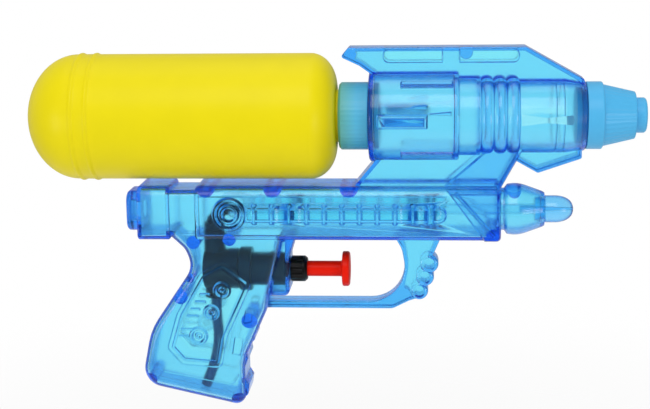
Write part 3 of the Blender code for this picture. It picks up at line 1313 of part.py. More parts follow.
def pump_group():
    """Pump, trigger, spring, valves and tubes."""
    black, rubber = finish("black plastic", "#14181d", 0.4), finish("black rubber", "#1c1c1c", 0.8)
    part(turned(pump_barrel_profile(), pump_axis), "pump_barrel", black, pump_axis)
    part(valve_block(), "valve_block", black.copy())
    part(turned(nut_profile(), pump_axis), "pump_nut", black.copy(), pump_axis)
    ring = tube_profile(snout_front + FIT, nut_step - FIT, ROD_RADIUS + FIT, SNOUT_RADIUS)
    part(turned(ring, pump_axis), "rod_seal", rubber, pump_axis)
    part(turned(trigger_profile(), pump_axis), "trigger", finish("red plastic", "#dc2a14", 0.35), pump_axis)
    cup = tube_profile(cup_rear, cup_front, HEAD_STEM_RADIUS + FIT, BORE_RADIUS - FIT)
    part(turned(cup, pump_axis), "piston_cup", rubber.copy(), pump_axis)
    return_spring().data.materials.append(finish("spring steel", "#b8bcc0", 0.3, metallic=1.0))

    steel = finish("ball steel", "#c4c8cc", 0.15, metallic=1.0)
    for name, seat in (("inlet_ball", inlet_seat + FIT), ("outlet_ball", outlet_seat + 2 * FIT)):
        centre = (TOWER_X, 0, seat + BALL_RADIUS)
        part(ball(centre, BALL_RADIUS), name, steel.copy(), centre)
    fitting = turned(inlet_fitting_profile(), tower_axis, UP, SMALL_ROUND)
    part(fitting, "inlet_fitting", black.copy(), tower_axis)
    part(outlet_elbow(), "outlet_elbow", black.copy())
    hose = tube_profile(elbow_front + FIT, nozzle_flange_rear - FIT, TUBE_BORE, TUBE_RADIUS)
    part(turned(hose, slide_axis, sides=RING_SIDES), "outlet_tube",
         finish("clear tube", "#cfe8f2", 0.2, alpha=0.5), slide_axis)
    part(intake_tube(), "intake_tube", finish("blue tube", "#2a5d8c", 0.3))


def main():
    """Make every piece of the squirter."""
    clear_scene()
    housing_halves(finish("clear blue shell", "#3fb4f2", 0.08, alpha=0.45))
    tank_group()
    front_group()
    pump_group()


main()
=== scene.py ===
"""Looks of a toy water squirter: clear blue shell, blown tank, trigger pump.

+X points to the muzzle, +Z is up and the pictured side faces -Y. Lengths are in metres.
"""
import math

import bmesh
import bpy
from mathutils import Matrix, Vector


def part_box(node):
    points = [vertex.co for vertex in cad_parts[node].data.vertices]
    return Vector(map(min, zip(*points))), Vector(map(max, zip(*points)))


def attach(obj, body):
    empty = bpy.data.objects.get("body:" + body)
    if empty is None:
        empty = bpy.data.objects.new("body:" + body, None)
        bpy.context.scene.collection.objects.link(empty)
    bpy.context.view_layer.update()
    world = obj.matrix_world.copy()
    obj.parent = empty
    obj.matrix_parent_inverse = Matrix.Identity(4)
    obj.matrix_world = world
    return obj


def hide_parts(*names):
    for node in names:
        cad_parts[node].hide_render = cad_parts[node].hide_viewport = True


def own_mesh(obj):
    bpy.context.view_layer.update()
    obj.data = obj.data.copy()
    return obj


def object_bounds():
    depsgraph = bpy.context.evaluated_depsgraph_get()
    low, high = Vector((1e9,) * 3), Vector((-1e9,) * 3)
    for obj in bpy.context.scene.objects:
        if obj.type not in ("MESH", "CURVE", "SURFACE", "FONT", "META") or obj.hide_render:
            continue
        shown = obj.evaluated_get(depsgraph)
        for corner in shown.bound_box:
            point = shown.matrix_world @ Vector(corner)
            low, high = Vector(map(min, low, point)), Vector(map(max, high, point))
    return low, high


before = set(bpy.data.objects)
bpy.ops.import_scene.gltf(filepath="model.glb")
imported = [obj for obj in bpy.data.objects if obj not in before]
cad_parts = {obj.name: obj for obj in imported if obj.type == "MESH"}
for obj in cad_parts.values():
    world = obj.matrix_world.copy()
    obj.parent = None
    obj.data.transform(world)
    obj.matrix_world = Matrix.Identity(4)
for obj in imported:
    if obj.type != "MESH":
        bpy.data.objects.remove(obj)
cad_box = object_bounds()
scene = bpy.context.scene
scene.view_settings.view_transform = "Standard"
MM = 0.001

# View: a long lens, a little to the front of the toy and a little above it.
# The toy is turned by less than a degree in the picture, so the camera leans by as much.
PICTURE_WIDTH = 650
FOCAL_PIXELS = 1467.6
azimuth, elevation, lean = (math.radians(angle) for angle in (4.5, 11.1, 0.75))
distance = 657.35 * MM
target = Vector((53.76, 0, 55.32)) * MM
back = Vector((math.sin(azimuth) * math.cos(elevation), -math.cos(azimuth) * math.cos(elevation),
               math.sin(elevation)))
lens = bpy.data.cameras.new("camera")
lens.sensor_width = 36
lens.lens = lens.sensor_width * FOCAL_PIXELS / PICTURE_WIDTH
lens.clip_start = 10 * MM
camera = bpy.data.objects.new("camera", lens)
scene.collection.objects.link(camera)
camera.location = target + back * distance
level = (-back).to_track_quat("-Z", "Y")
camera.rotation_euler = (level @ Matrix.Rotation(-lean, 3, "Z").to_quaternion()).to_euler()
scene.camera = camera


# Studio: a white tent with four soft lamps, dimmer on the near side in what the toy mirrors.
# Clear plastic that bends light far aside shows the tent's dimmer walls, so its edges draw themselves.
# The pale floor lies a hand's breadth under the grip, because the toy is held and not stood.
def linear(colour):
    """Linear RGBA from an sRGB hex colour."""
    channels = [int(colour[i:i + 2], 16) / 255 for i in (1, 3, 5)]
    return (*[c / 12.92 if c <= 0.04045 else ((c + 0.055) / 1.055) ** 2.4 for c in channels], 1.0)


def add(tree, kind, inputs=None, **settings):
    """Add a node, set its properties, and fill its sockets with values or links."""
    node = tree.nodes.new(kind)
    for name, value in settings.items():
        setattr(node, name, value)
    for name, value in (inputs or {}).items():
        if isinstance(value, bpy.types.NodeSocket):
            tree.links.new(value, node.inputs[name])
        else:
            node.inputs[name].default_value = value
    return node


def seen_directly(tree):
    """1 for rays that show a surface: camera, glossy and transmission."""
    path = add(tree, "ShaderNodeLightPath")
    first = add(tree, "ShaderNodeMath", {0: path.outputs["Is Camera Ray"], 1: path.outputs["Is Glossy Ray"]},
                operation="MAXIMUM")
    second = add(tree, "ShaderNodeMath", {0: first.outputs[0], 1: path.outputs["Is Transmission Ray"]},
                 operation="MAXIMUM")
    return second.outputs[0]


TENT_LIGHT = 0.5
ROOM_MIRRORED, TENT_MIRRORED = 0.15, 0.5
WALLS_THROUGH = 0.5
NEAR_SIDE, FAR_SIDE = -0.4, 0.25
ASIDE, AHEAD = 0.4, 0.9
world = bpy.data.worlds.new("white tent")
world.use_nodes = True
scene.world = world
tree = world.node_tree
tree.nodes.clear()
path = add(tree, "ShaderNodeLightPath")
way = add(tree, "ShaderNodeTexCoord").outputs["Generated"]
depth = add(tree, "ShaderNodeVectorMath", {0: way, 1: (0, 1, 0)}, operation="DOT_PRODUCT").outputs["Value"]
mirrored = add(tree, "ShaderNodeMapRange", {
    "Value": depth, "From Min": NEAR_SIDE, "From Max": FAR_SIDE, "To Min": ROOM_MIRRORED,
    "To Max": TENT_MIRRORED}, interpolation_type="SMOOTHSTEP")
ahead = add(tree, "ShaderNodeMath", {0: depth}, operation="ABSOLUTE").outputs[0]
through = add(tree, "ShaderNodeMapRange", {
    "Value": ahead, "From Min": ASIDE, "From Max": AHEAD, "To Min": WALLS_THROUGH, "To Max": 1.0},
    interpolation_type="SMOOTHSTEP")
around = add(tree, "ShaderNodeMix", {
    0: path.outputs["Is Transmission Ray"], 2: mirrored.outputs[0], 3: through.outputs[0]})
shown = add(tree, "ShaderNodeMix", {0: path.outputs["Is Camera Ray"], 2: around.outputs[0], 3: 1.0})
strength = add(tree, "ShaderNodeMix", {0: seen_directly(tree), 2: TENT_LIGHT, 3: shown.outputs[0]})
tent = add(tree, "ShaderNodeBackground", {"Color": linear("#ffffff"), "Strength": strength.outputs[0]})
add(tree, "ShaderNodeOutputWorld", {"Surface": tent.outputs[0]})
BOUNCES = 32
scene.cycles.max_bounces = BOUNCES
scene.cycles.transmission_bounces = BOUNCES
scene.cycles.glossy_bounces = BOUNCES


def lamp(name, place, aim, size, power):
    """A square soft lamp at place, turned to aim."""
    light = bpy.data.lights.new(name, "AREA")
    light.size = size
    light.energy = power
    thing = bpy.data.objects.new(name, light)
    scene.collection.objects.link(thing)
    thing.location = place
    thing.rotation_euler = (Vector(aim) - Vector(place)).to_track_quat("-Z", "Y").to_euler()
    thing.visible_transmission = False


lamp("lamp_key", (0.05, -0.75, 0.85), target, 0.6, 3.8)
lamp("lamp_overhead", (0.0, 0.1, 1.0), target, 0.7, 1.5)
for name, x in (("lamp_left", -0.7), ("lamp_right", 0.8)):
    lamp(name, (x, -0.8, 0.0), target, 0.4, 2.1)

FLOOR_DROP = 90 * MM
FLOOR_RADIUS = 0.55
FLOOR_GLOW = 0.85
FADE_START = 0.3 * FLOOR_RADIUS


def blank_material(name):
    """A new material and its empty node tree."""
    material = bpy.data.materials.new(name)
    material.use_nodes = True
    material.node_tree.nodes.clear()
    return material, material.node_tree


mesh = bmesh.new()
bmesh.ops.create_circle(mesh, cap_ends=True, segments=96, radius=FLOOR_RADIUS)
bmesh.ops.translate(mesh, verts=mesh.verts, vec=(target.x, 0, cad_box[0].z - FLOOR_DROP))
data = bpy.data.meshes.new("floor")
mesh.to_mesh(data)
mesh.free()
floor = bpy.data.objects.new("floor", data)
scene.collection.objects.link(floor)
paper, tree = blank_material("white paper")
matt = add(tree, "ShaderNodeBsdfDiffuse", {"Color": linear("#fcfcfc")})
glow = add(tree, "ShaderNodeEmission", {"Color": linear("#ffffff"), "Strength": 1.0})
share = add(tree, "ShaderNodeMath", {0: seen_directly(tree), 1: FLOOR_GLOW}, operation="MULTIPLY")
sheet = add(tree, "ShaderNodeMixShader", {0: share.outputs[0], 1: matt.outputs[0], 2: glow.outputs[0]})
place = add(tree, "ShaderNodeTexCoord")
middle = add(tree, "ShaderNodeMapping", {"Vector": place.outputs["Object"], "Location": (-target.x, 0, 0)})
flat = add(tree, "ShaderNodeVectorMath", {0: middle.outputs[0], 1: (1, 1, 0)}, operation="MULTIPLY")
reach = add(tree, "ShaderNodeVectorMath", {0: flat.outputs[0]}, operation="LENGTH")
fade = add(tree, "ShaderNodeMapRange", {
    "Value": reach.outputs["Value"], "From Min": FADE_START, "From Max": FLOOR_RADIUS},
    interpolation_type="SMOOTHSTEP")
clear = add(tree, "ShaderNodeBsdfTransparent")
edge = add(tree, "ShaderNodeMixShader", {0: fade.outputs[0], 1: sheet.outputs[0], 2: clear.outputs[0]})
add(tree, "ShaderNodeOutputMaterial", {"Surface": edge.outputs[0]})
floor.data.materials.append(paper)


# Shell: two half mouldings of clear blue polypropylene that meet on a seam down the middle.
# Slide, grip, guard, web, barrel, fin and keel are one moulding, 1.8 mm thick, welded at its posts.
def rounded(corners, step=math.radians(9)):
    """Points of an outline from corners (u, v, radius), with each radius drawn as an arc."""
    points = []
    for index, (u, v, *radius) in enumerate(corners):
        corner = Vector((u, v))
        if not radius or radius[0] <= 0:
            points.append(corner)
            continue
        radius = radius[0]
        before = (Vector(corners[index - 1][:2]) - corner).normalized()
        after = (Vector(corners[(index + 1) % len(corners)][:2]) - corner).normalized()
        half = before.angle(after) / 2
        centre = corner + (before + after).normalized() * radius / math.sin(half)
        start = corner + before * radius / math.tan(half) - centre
        sweep = math.pi - 2 * half
        turn = math.copysign(sweep, before.y * after.x - before.x * after.y)
        steps = max(2, math.ceil(sweep / step))
        for count in range(steps + 1):
            points.append(centre + Matrix.Rotation(turn * count / steps, 2) @ start)
    return points


LEAST_RADIUS = 0.2 * MM


def inset(corners, depth):
    """Every side of a closed outline moved inwards by depth, and its radii with it."""
    flat = [Vector(corner[:2]) for corner in corners]
    area = sum(a.x * b.y - b.x * a.y for a, b in zip(flat, flat[1:] + flat[:1]))
    side = math.copysign(1.0, area)
    moved = []
    for index, corner in enumerate(flat):
        before = (corner - flat[index - 1]).normalized()
        after = (flat[(index + 1) % len(flat)] - corner).normalized()
        inward = side * (Vector((-before.y, before.x)) + Vector((-after.y, after.x)))
        point = corner + inward * depth / (1 + before.dot(after))
        bulge = side * (before.x * after.y - before.y * after.x)
        radius = corners[index][2] if len(corners[index]) > 2 else 0
        if radius > 0:
            radius = max(radius - math.copysign(depth, bulge), LEAST_RADIUS)
        moved.append((point.x, point.y, radius))
    return moved


def as_object(name, mesh):
    """Put a bmesh into the scene as an object."""
    data = bpy.data.meshes.new(name)
    mesh.to_mesh(data)
    mesh.free()
    thing = bpy.data.objects.new(name, data)
    scene.collection.objects.link(thing)
    return thing


RIM_STEPS = 5
BREAK_INSET, BREAK_DROP = 0.8, 0.1
ALONG_X = Matrix(((0, 0, 1, 0), (1, 0, 0, 0), (0, 1, 0, 0), (0, 0, 0, 1)))
ALONG_Y = Matrix(((1, 0, 0, 0), (0, 0, 1, 0), (0, 1, 0, 0), (0, 0, 0, 1)))


def rim_levels(rim, rise=None):
    """Pairs of inset and setback that round an edge, or slant it by the rim over the rise.

    A slanted flank is broken once, close under its top.
    """
    if rim <= 0:
        return [(0.0, 0.0)]
    if rise:
        return [(rim, 0.0), (BREAK_INSET * rim, BREAK_DROP * rise), (0.0, rise)]
    quarter = [math.pi / 2 * step / RIM_STEPS for step in range(RIM_STEPS + 1)]
    return [(rim * (1 - math.sin(angle)), rim * (1 - math.cos(angle))) for angle in quarter]


def extruded(corners, start, end, start_rim=0.0, end_rim=0.0, lie=ALONG_Y, rise=None):
    """An outline drawn out from start to end, with the edges of either end rounded or slanted."""
    levels = [(depth, start + setback) for depth, setback in rim_levels(start_rim, rise)]
    levels += [(depth, end - setback) for depth, setback in reversed(rim_levels(end_rim, rise))]
    mesh = bmesh.new()
    loops = []
    for depth, level in levels:
        verts = [mesh.verts.new((p.x, p.y, level)) for p in rounded(inset(corners, depth))]
        loops.append([mesh.edges.new(pair) for pair in zip(verts, verts[1:] + verts[:1])])
    for first, second in zip(loops, loops[1:]):
        bmesh.ops.bridge_loops(mesh, edges=first + second)
    for loop in (loops[0], loops[-1]):
        bmesh.ops.contextual_create(mesh, geom=loop)
    mesh.transform(lie)
    mesh.normal_update()
    bmesh.ops.recalc_face_normals(mesh, faces=mesh.faces)
    return as_object("extruded", mesh)


ORDER_BASE = 100_000


def corner_order(element):
    """A number that sorts edges or faces by the vertices that they join."""
    order = 0
    for index in sorted(vert.index for vert in element.verts)[:3]:
        order = order * ORDER_BASE + index
    return order


def put_in_order(mesh):
    """Sort the edges and faces of a spun mesh, which spin lists in a new order on every run."""
    mesh.verts.index_update()
    mesh.edges.sort(key=corner_order)
    mesh.faces.sort(key=corner_order)


def turned(profile, place, axis=(1, 0, 0), sides=96, phase=0.0):
    """An open or ring-shaped profile (along, radius, fillet) spun about an axis through place."""
    points = rounded(profile)
    mesh = bmesh.new()
    verts = [mesh.verts.new((p.x, 0, p.y)) for p in points]
    edges = [mesh.edges.new(pair) for pair in zip(verts, verts[1:])]
    if min(points[0].y, points[-1].y) > 0:
        edges.append(mesh.edges.new((verts[-1], verts[0])))
    bmesh.ops.spin(mesh, geom=verts + edges, cent=(0, 0, 0), axis=(1, 0, 0), angle=math.tau, steps=sides,
                   use_merge=True)
    bmesh.ops.remove_doubles(mesh, verts=mesh.verts, dist=1e-7)
    bmesh.ops.recalc_face_normals(mesh, faces=mesh.faces)
    turn = Vector((1, 0, 0)).rotation_difference(Vector(axis)).to_matrix().to_4x4()
    mesh.transform(Matrix.Translation(place) @ turn @ Matrix.Rotation(phase * math.tau / sides, 4, "X"))
    put_in_order(mesh)
    return as_object("turned", mesh)


PHASE = 0.37


def rod(start, end, radius, place, axis=(1, 0, 0), sides=32):
    """A plain round bar, with its facets out of step with its neighbours'."""
    return turned([(start, 0), (start, radius), (end, radius), (end, 0)], place, axis, sides, PHASE)


def combine(thing, tools, operation):
    """Join all tools to a thing or cut them from it, and remove them."""
    for tool in tools:
        step = thing.modifiers.new("tool", "BOOLEAN")
        step.solver = "EXACT"
        step.operation = operation
        step.object = tool
    graph = bpy.context.evaluated_depsgraph_get()
    result = bpy.data.meshes.new_from_object(thing.evaluated_get(graph))
    thing.modifiers.clear()
    thing.data = result
    for tool in tools:
        bpy.data.objects.remove(tool, do_unlink=True)
    return thing


def join(thing, *tools):
    """Union of a thing and tools."""
    return combine(thing, tools, "UNION")


def cut(thing, *tools):
    """A thing with the tools cut away."""
    return combine(thing, tools, "DIFFERENCE")


def middle_of(node):
    """Centre of a node of the frame."""
    low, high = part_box(node)
    return (low + high) / 2


WALL, END_WALL, FIT, OVER, MARGIN = 1.8 * MM, 2.0 * MM, 0.3 * MM, 1.0 * MM, 2.0 * MM
EDGE = 2.0 * MM
shell_low, shell_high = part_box("housing_right")
barrel_axis = Vector((0, 0, middle_of("tank_collar").z))
slide_axis = Vector((0, 0, middle_of("nozzle").z))
pump_axis = Vector((0, 0, middle_of("trigger").z))
NEAR = (0, -1, 0)


def mm(*corners):
    """Corners written in millimetres, as metres."""
    return [tuple(value * MM for value in corner) for corner in corners]


slide_rear, slide_front, slide_side = -3.2 * MM, 131.6 * MM, 14.5 * MM
slide_top, slide_foot = slide_axis.z + 11.85 * MM, slide_axis.z - 11.85 * MM
waist_rear, block_rear, knob_rear = -14.4 * MM, -29.0 * MM, shell_low.x
rear_wall, drum_front, neck_front, rings_front = 74.0 * MM, 113.2 * MM, 122.6 * MM, 139.4 * MM
fore_front, muzzle_front = shell_high.x, 151.0 * MM
drum_side, fore_side, fin_side, grip_side = 20.1 * MM, 16.8 * MM, 6.5 * MM, 12.5 * MM
web_side, guard_side, boss_side, finger_side = 8.0 * MM, 5.0 * MM, 9.5 * MM, 9.5 * MM

grip_outline = mm(
    (-15.8, 53.6), (-15.8, 43.55), (-8.5, 36.75, 8), (-5.3, 28.45, 10), (-25.4, -1.0, 30), (-30.3, -25.59, 9),
    (17.6, -36.41, 4.5), (17.0, -15.0, 20), (27.5, 8.5), (36.0, 43.55), (36.0, 53.6))
finger_outline = mm(
    (8.0, -30.56), (18.2, -32.36, 2), (19.0, -26.4, 1.2), (17.2, -23.5, 1), (17.2, -18.0, 1),
    (18.8, -14.0, 1.2), (18.0, -9.5, 1), (22.0, -5.0, 1.5), (22.6, 5.5, 1.5), (26.7, 8.5), (12.0, 8.5))
guard_outline = mm(
    (20.0, 8.6), (84.0, 8.6, 4), (91.5, 12.3, 1), (95.5, 13.5), (100.5, 30.0), (102.4, 34.0, 0.8),
    (105.8, 41.75), (105.8, 45.05), (82.9, 45.05), (88.2, 36.0, 10), (89.6, 28.0, 14), (86.6, 12.2, 15),
    (20.0, 12.0))
guard_hollow = mm(
    (85.6, 46.05), (89.9, 37.0, 10), (91.2, 28.0, 14), (88.6, 15.0, 1), (90.5, 13.9), (94.6, 15.2),
    (99.0, 30.0), (100.8, 34.5), (104.2, 43.55), (104.2, 46.05))
guard_lumps = mm((100.2, 29.4, 4.3), (98.3, 23.3, 4.2), (95.9, 16.9, 4.0))
lump_side = guard_side + 0.6 * MM
boss_outline = mm(
    (25.0, 46.05), (25.0, 15.3), (38.0, 15.3, 2.6), (38.0, 32.55, 2.6), (40.8, 41.75), (40.8, 46.05))
boss_hollow = mm((30.0, 17.1), (36.2, 17.1, 0.8), (36.2, 39.95), (35.2, 39.95))
fin_outline = mm(
    (61.7, 121.8, 1), (65.2, 125.9, 1), (141.9, 125.9, 1.5), (167.2, 111.6, 1), (166.0, 95.3), (78.0, 95.3),
    (75.5, 114.0), (69.9, 118.0, 1))
keel_outline = mm((137.4, 76.5), (147.7, 70.7, 1), (166.6, 77.1, 1), (166.6, 86.9), (137.4, 86.9))
web_outline = mm((61.5, 57.95), (84.0, 85.25), (143.3, 85.25), (128.0, 57.95))
front_web = mm((106.4, 65.05), (129.8, 85.25), (143.3, 85.25), (131.98, 65.05))
front_slide = mm((108.0, 64.2), (124.5, 41.75), (131.6, 41.75, 2), (131.6, 64.2))
TOP_CORNER, FOOT_CORNER = 5 * MM, 2.5 * MM
slide_section = [
    (-slide_side, slide_top, TOP_CORNER), (-slide_side, slide_foot, FOOT_CORNER),
    (slide_side, slide_foot, FOOT_CORNER), (slide_side, slide_top, TOP_CORNER)]
KNOB_SIDE, KNOB_RISE, KNOB_CORNER, KNOB_WALL = 10 * MM, 9 * MM, 5 * MM, 4.5 * MM
knob_section = [
    (u * KNOB_SIDE, slide_axis.z + v * KNOB_RISE, KNOB_CORNER)
    for u, v in ((-1, 1), (-1, -1), (1, -1), (1, 1))]


def slab(corners, side, rim=0.0, past=OVER, rise=None):
    """An XZ outline drawn out from the near side to just past the seam."""
    return extruded(corners, -side, past, start_rim=rim, rise=rise)


def bar(section, start, end, rim=0.0):
    """A YZ section drawn out along X."""
    return extruded(section, start, end, rim, rim, lie=ALONG_X)


RING_PITCH, RING_COUNT, RING_STEPS, RING_GAP = 5.6 * MM, 3, 8, 0.02 * MM
GROOVE, GROOVE_DEPTH = 0.6 * MM, 0.3 * MM
neck_side, valley, crest = 18.2 * MM, 16.7 * MM, 18.4 * MM
barrel_profile = [
    (rear_wall, 0), (rear_wall, drum_side, 1.4 * MM), (drum_front, drum_side, 0.9 * MM),
    (drum_front, neck_side, 0.4 * MM), (neck_front, neck_side, 0.4 * MM)]
for ring in range(RING_COUNT):
    start = neck_front + ring * RING_PITCH
    for step in range(RING_STEPS + 1):
        angle = math.pi * step / RING_STEPS
        along = start + RING_PITCH / 2 * (1 - math.cos(angle)) + (RING_GAP if step == 0 else 0)
        barrel_profile.append((along, valley + (crest - valley) * math.sin(angle)))
fore_mouth = 14.8 * MM
barrel_profile.append((rings_front + 0.05 * MM, fore_side))
for start in (fore_front - 13.6 * MM, fore_front - 10.2 * MM):
    barrel_profile += [
        (start, fore_side), (start + GROOVE / 3, fore_side - GROOVE_DEPTH),
        (start + GROOVE * 2 / 3, fore_side - GROOVE_DEPTH), (start + GROOVE, fore_side)]
barrel_profile += [
    (fore_front - 8.5 * MM, fore_side, 12 * MM), (fore_front, fore_mouth + 0.5 * MM, 1.0 * MM),
    (fore_front, 0)]
barrel_hollow = [
    (rear_wall + END_WALL, 0), (rear_wall + END_WALL, drum_side - WALL, 1 * MM),
    (drum_front - WALL, drum_side - WALL, 0.8 * MM), (drum_front - WALL, neck_side - WALL),
    (neck_front - WALL, neck_side - WALL), (neck_front - WALL, valley - WALL),
    (rings_front + WALL, valley - WALL), (rings_front + WALL, fore_side - WALL),
    (fore_front - 9.5 * MM, fore_side - WALL, 10 * MM), (fore_front - END_WALL, fore_mouth - WALL + 0.9 * MM),
    (fore_front - END_WALL, 0)]


def muzzle_profile(depth):
    """Outside of the lower muzzle, or its inside when drawn in by depth."""
    front = muzzle_front - (END_WALL if depth else 0)
    root, belly, mouth = 9.4 * MM - depth, 11.8 * MM - depth, 7.4 * MM - depth
    return [
        (slide_front - 5 * MM, 0), (slide_front - 5 * MM, root), (slide_front + 1.8 * MM, root),
        (slide_front + 3.0 * MM, belly - 0.7 * MM, 0.6 * MM),
        (slide_front + 7.6 * MM, belly + 0.1 * MM, 14 * MM),
        (muzzle_front - 0.8 * MM, mouth + 0.5 * MM, 0.6 * MM), (front, mouth), (front, 0)]


SOFT_RIM, SLIM_RIM, GRIP_RIM, GUARD_RIM, LUMP_RIM = 1.5 * MM, 0.8 * MM, 4 * MM, 1.0 * MM, 1.6 * MM
WAIST_DEPTH = 1.8 * MM


def lump(x, z, radius):
    """A round swelling on the front of the guard, from its side to just past the seam."""
    profile = [(-OVER, 0), (-OVER, radius), (lump_side, radius, LUMP_RIM), (lump_side, 0)]
    return turned(profile, (x, 0, z), NEAR, 40, PHASE)


def outer_forms():
    """Every outside form of one half, each a little past the seam."""
    return [
        bar(slide_section, slide_rear, slide_front, rim=SOFT_RIM),
        bar(inset(slide_section, WAIST_DEPTH), waist_rear - OVER, slide_rear + 2 * OVER),
        bar(slide_section, block_rear, waist_rear, rim=OVER),
        bar(knob_section, knob_rear, block_rear + 2 * OVER, rim=SOFT_RIM),
        turned(muzzle_profile(0), slide_axis, sides=80),
        turned(barrel_profile, barrel_axis, sides=120),
        slab(fin_outline, fin_side, rim=SLIM_RIM),
        slab(keel_outline, fin_side, rim=SLIM_RIM),
        slab(web_outline, web_side),
        slab(front_web, web_side + EDGE, rim=SLIM_RIM, rise=EDGE),
        slab(front_slide, slide_side + EDGE, rim=SLIM_RIM, rise=EDGE),
        slab(grip_outline, grip_side, rim=GRIP_RIM),
        slab(finger_outline, finger_side, rim=SLIM_RIM),
        slab(guard_outline, guard_side, rim=GUARD_RIM),
        slab(boss_outline, boss_side, rim=SOFT_RIM),
        *[lump(*place) for place in guard_lumps]]


pump_room = 20.5 * MM, 36.0 * MM, 7.8 * MM
GRIP_INNER_RIM = 2.2 * MM


def hollow_forms():
    """Every inside space of one half."""
    past = 2 * OVER
    return [
        bar(inset(slide_section, WALL), slide_rear + WALL, slide_front - WALL),
        bar(inset(slide_section, 2 * WALL), waist_rear - 2 * WALL, slide_rear + 2 * WALL),
        bar(inset(slide_section, WALL), block_rear + WALL, waist_rear - WALL),
        bar(inset(knob_section, KNOB_WALL), knob_rear + WALL, block_rear + 2 * WALL),
        turned(muzzle_profile(WALL), slide_axis, sides=80),
        turned(barrel_hollow, barrel_axis, sides=120),
        slab(inset(fin_outline, WALL), fin_side - WALL, past=past),
        slab(inset(keel_outline, WALL), fin_side - WALL, past=past),
        slab(inset(web_outline, WALL), web_side - WALL, past=past),
        slab(inset(grip_outline, WALL), grip_side - WALL, rim=GRIP_INNER_RIM, past=past),
        slab(guard_hollow, guard_side - WALL, past=past),
        *[rod(-past, lump_side - WALL, radius - WALL, (x, 0, z), NEAR) for x, z, radius in guard_lumps],
        slab(boss_hollow, boss_side - WALL, past=past),
        rod(*pump_room, pump_axis, sides=48)]


# Welded posts that join the halves: place along the toy, height and radius.
posts = mm(
    (66.2, 122.6, 2.4), (89.1, 14.8, 3.0), (1.8, 65.15, 4.4), (31.5, 65.15, 4.4), (65.2, 65.15, 4.4),
    (116.2, 123.5, 3.0), (137.6, 62.4, 3.0), (128.2, 44.15, 3.0), (-11.1, 15.1, 3.4), (-6.7, 23.7, 2.2),
    (19.7, 4.2, 3.4), (13.9, -32.87, 3.0), (-25.8, -23.82, 3.0), (11.7, 41.6, 3.0), (-4.5, 40.1, 3.0))
ROOT = 0.5 * MM


def relief(corners, side, height, rim=0.0):
    """A raised form rooted in a side wall, with flanks that slant out by the rim."""
    return extruded(corners, -side - height, ROOT - side, start_rim=rim, rise=height)


RECESS_SLANT = 0.38


def recess(corners, side, depth):
    """A cutter that sinks a form with slanted flanks into a side wall."""
    return extruded(corners, -side - MARGIN, depth - side, end_rim=RECESS_SLANT * depth, rise=depth)


def box(x0, x1, z0, z1, rear=0.0, front=0.0):
    """Corners of an upright rectangle, with one radius at each end."""
    return [(x0, z0, rear), (x1, z0, front), (x1, z1, front), (x0, z1, rear)]


RIDGE_FLANK, FLANK_SHARE, RIDGE_FILLET = 0.7 * MM, 0.4, 0.2 * MM


def ridge(x, z, side, height, inner, outer):
    """A ring on a side wall, with slanted flanks."""
    flank = min(RIDGE_FLANK, FLANK_SHARE * (outer - inner))
    root, top = side - ROOT, side + height
    profile = [(root, inner), (side, inner), (top, inner + flank, RIDGE_FILLET),
               (top, outer - flank, RIDGE_FILLET), (side, outer), (root, outer)]
    return turned(profile, (x, 0, z), NEAR, 48)


def stripe(points, width):
    """Closed outline of a line of one width through points."""
    path = [Vector(point) for point in points]
    left, right = [], []
    for index, point in enumerate(path):
        ahead = path[min(index + 1, len(path) - 1)] - path[max(index - 1, 0)]
        aside = Vector((-ahead.y, ahead.x)).normalized() * width / 2
        left.append(tuple(point + aside))
        right.append(tuple(point - aside))
    return left + right[::-1]


ring_x = 12.3 * MM
RUNGS, FIRST_RUNG, RUNG_PITCH = 11, 11.2, 7.75
RUNG_HALF, LAST_RUNG_HALF, RUNG_REACH, RUNG_CORNER = 1.4 * MM, 2.1 * MM, 4.9 * MM, 1.2 * MM
RAIL_WIDTH, RAIL_HEIGHT, RUNG_HEIGHT = 1.7 * MM, 2.2 * MM, 2.6 * MM


def slide_relief():
    """Ring boss, ribbed rod and a slanted crease on the slide's side. Rungs are set out in millimetres."""
    x, z = ring_x, slide_axis.z
    rails = box(x + 6.6 * MM, x + 95.8 * MM, z - 3.9 * MM, z + 3.9 * MM, front=3.5 * MM)
    ladder = relief(rails, slide_side, RAIL_HEIGHT, rim=1.0 * MM)
    cut(ladder, extruded(inset(rails, RAIL_WIDTH), -slide_side - MARGIN, MARGIN - slide_side))
    features = [
        ladder, ridge(x, z, slide_side, 2.0 * MM, 5.4 * MM, 7.7 * MM),
        ridge(x, z, slide_side, 1.8 * MM, 2.6 * MM, 4.7 * MM)]
    for rung in range(RUNGS):
        half = LAST_RUNG_HALF if rung == RUNGS - 1 else RUNG_HALF
        centre = x + (FIRST_RUNG + RUNG_PITCH * rung) * MM
        sides = box(centre - half, centre + half, z - RUNG_REACH, z + RUNG_REACH, RUNG_CORNER, RUNG_CORNER)
        features.append(relief(sides, slide_side, RUNG_HEIGHT, rim=1.1 * MM))
    crease = stripe(mm((111.6, 63.6), (128.6, 44.6)), 1.8 * MM)
    features.append(relief(crease, slide_side + EDGE, 1.6 * MM, rim=0.6 * MM))
    return features


BAR_ANGLE = math.radians(48)


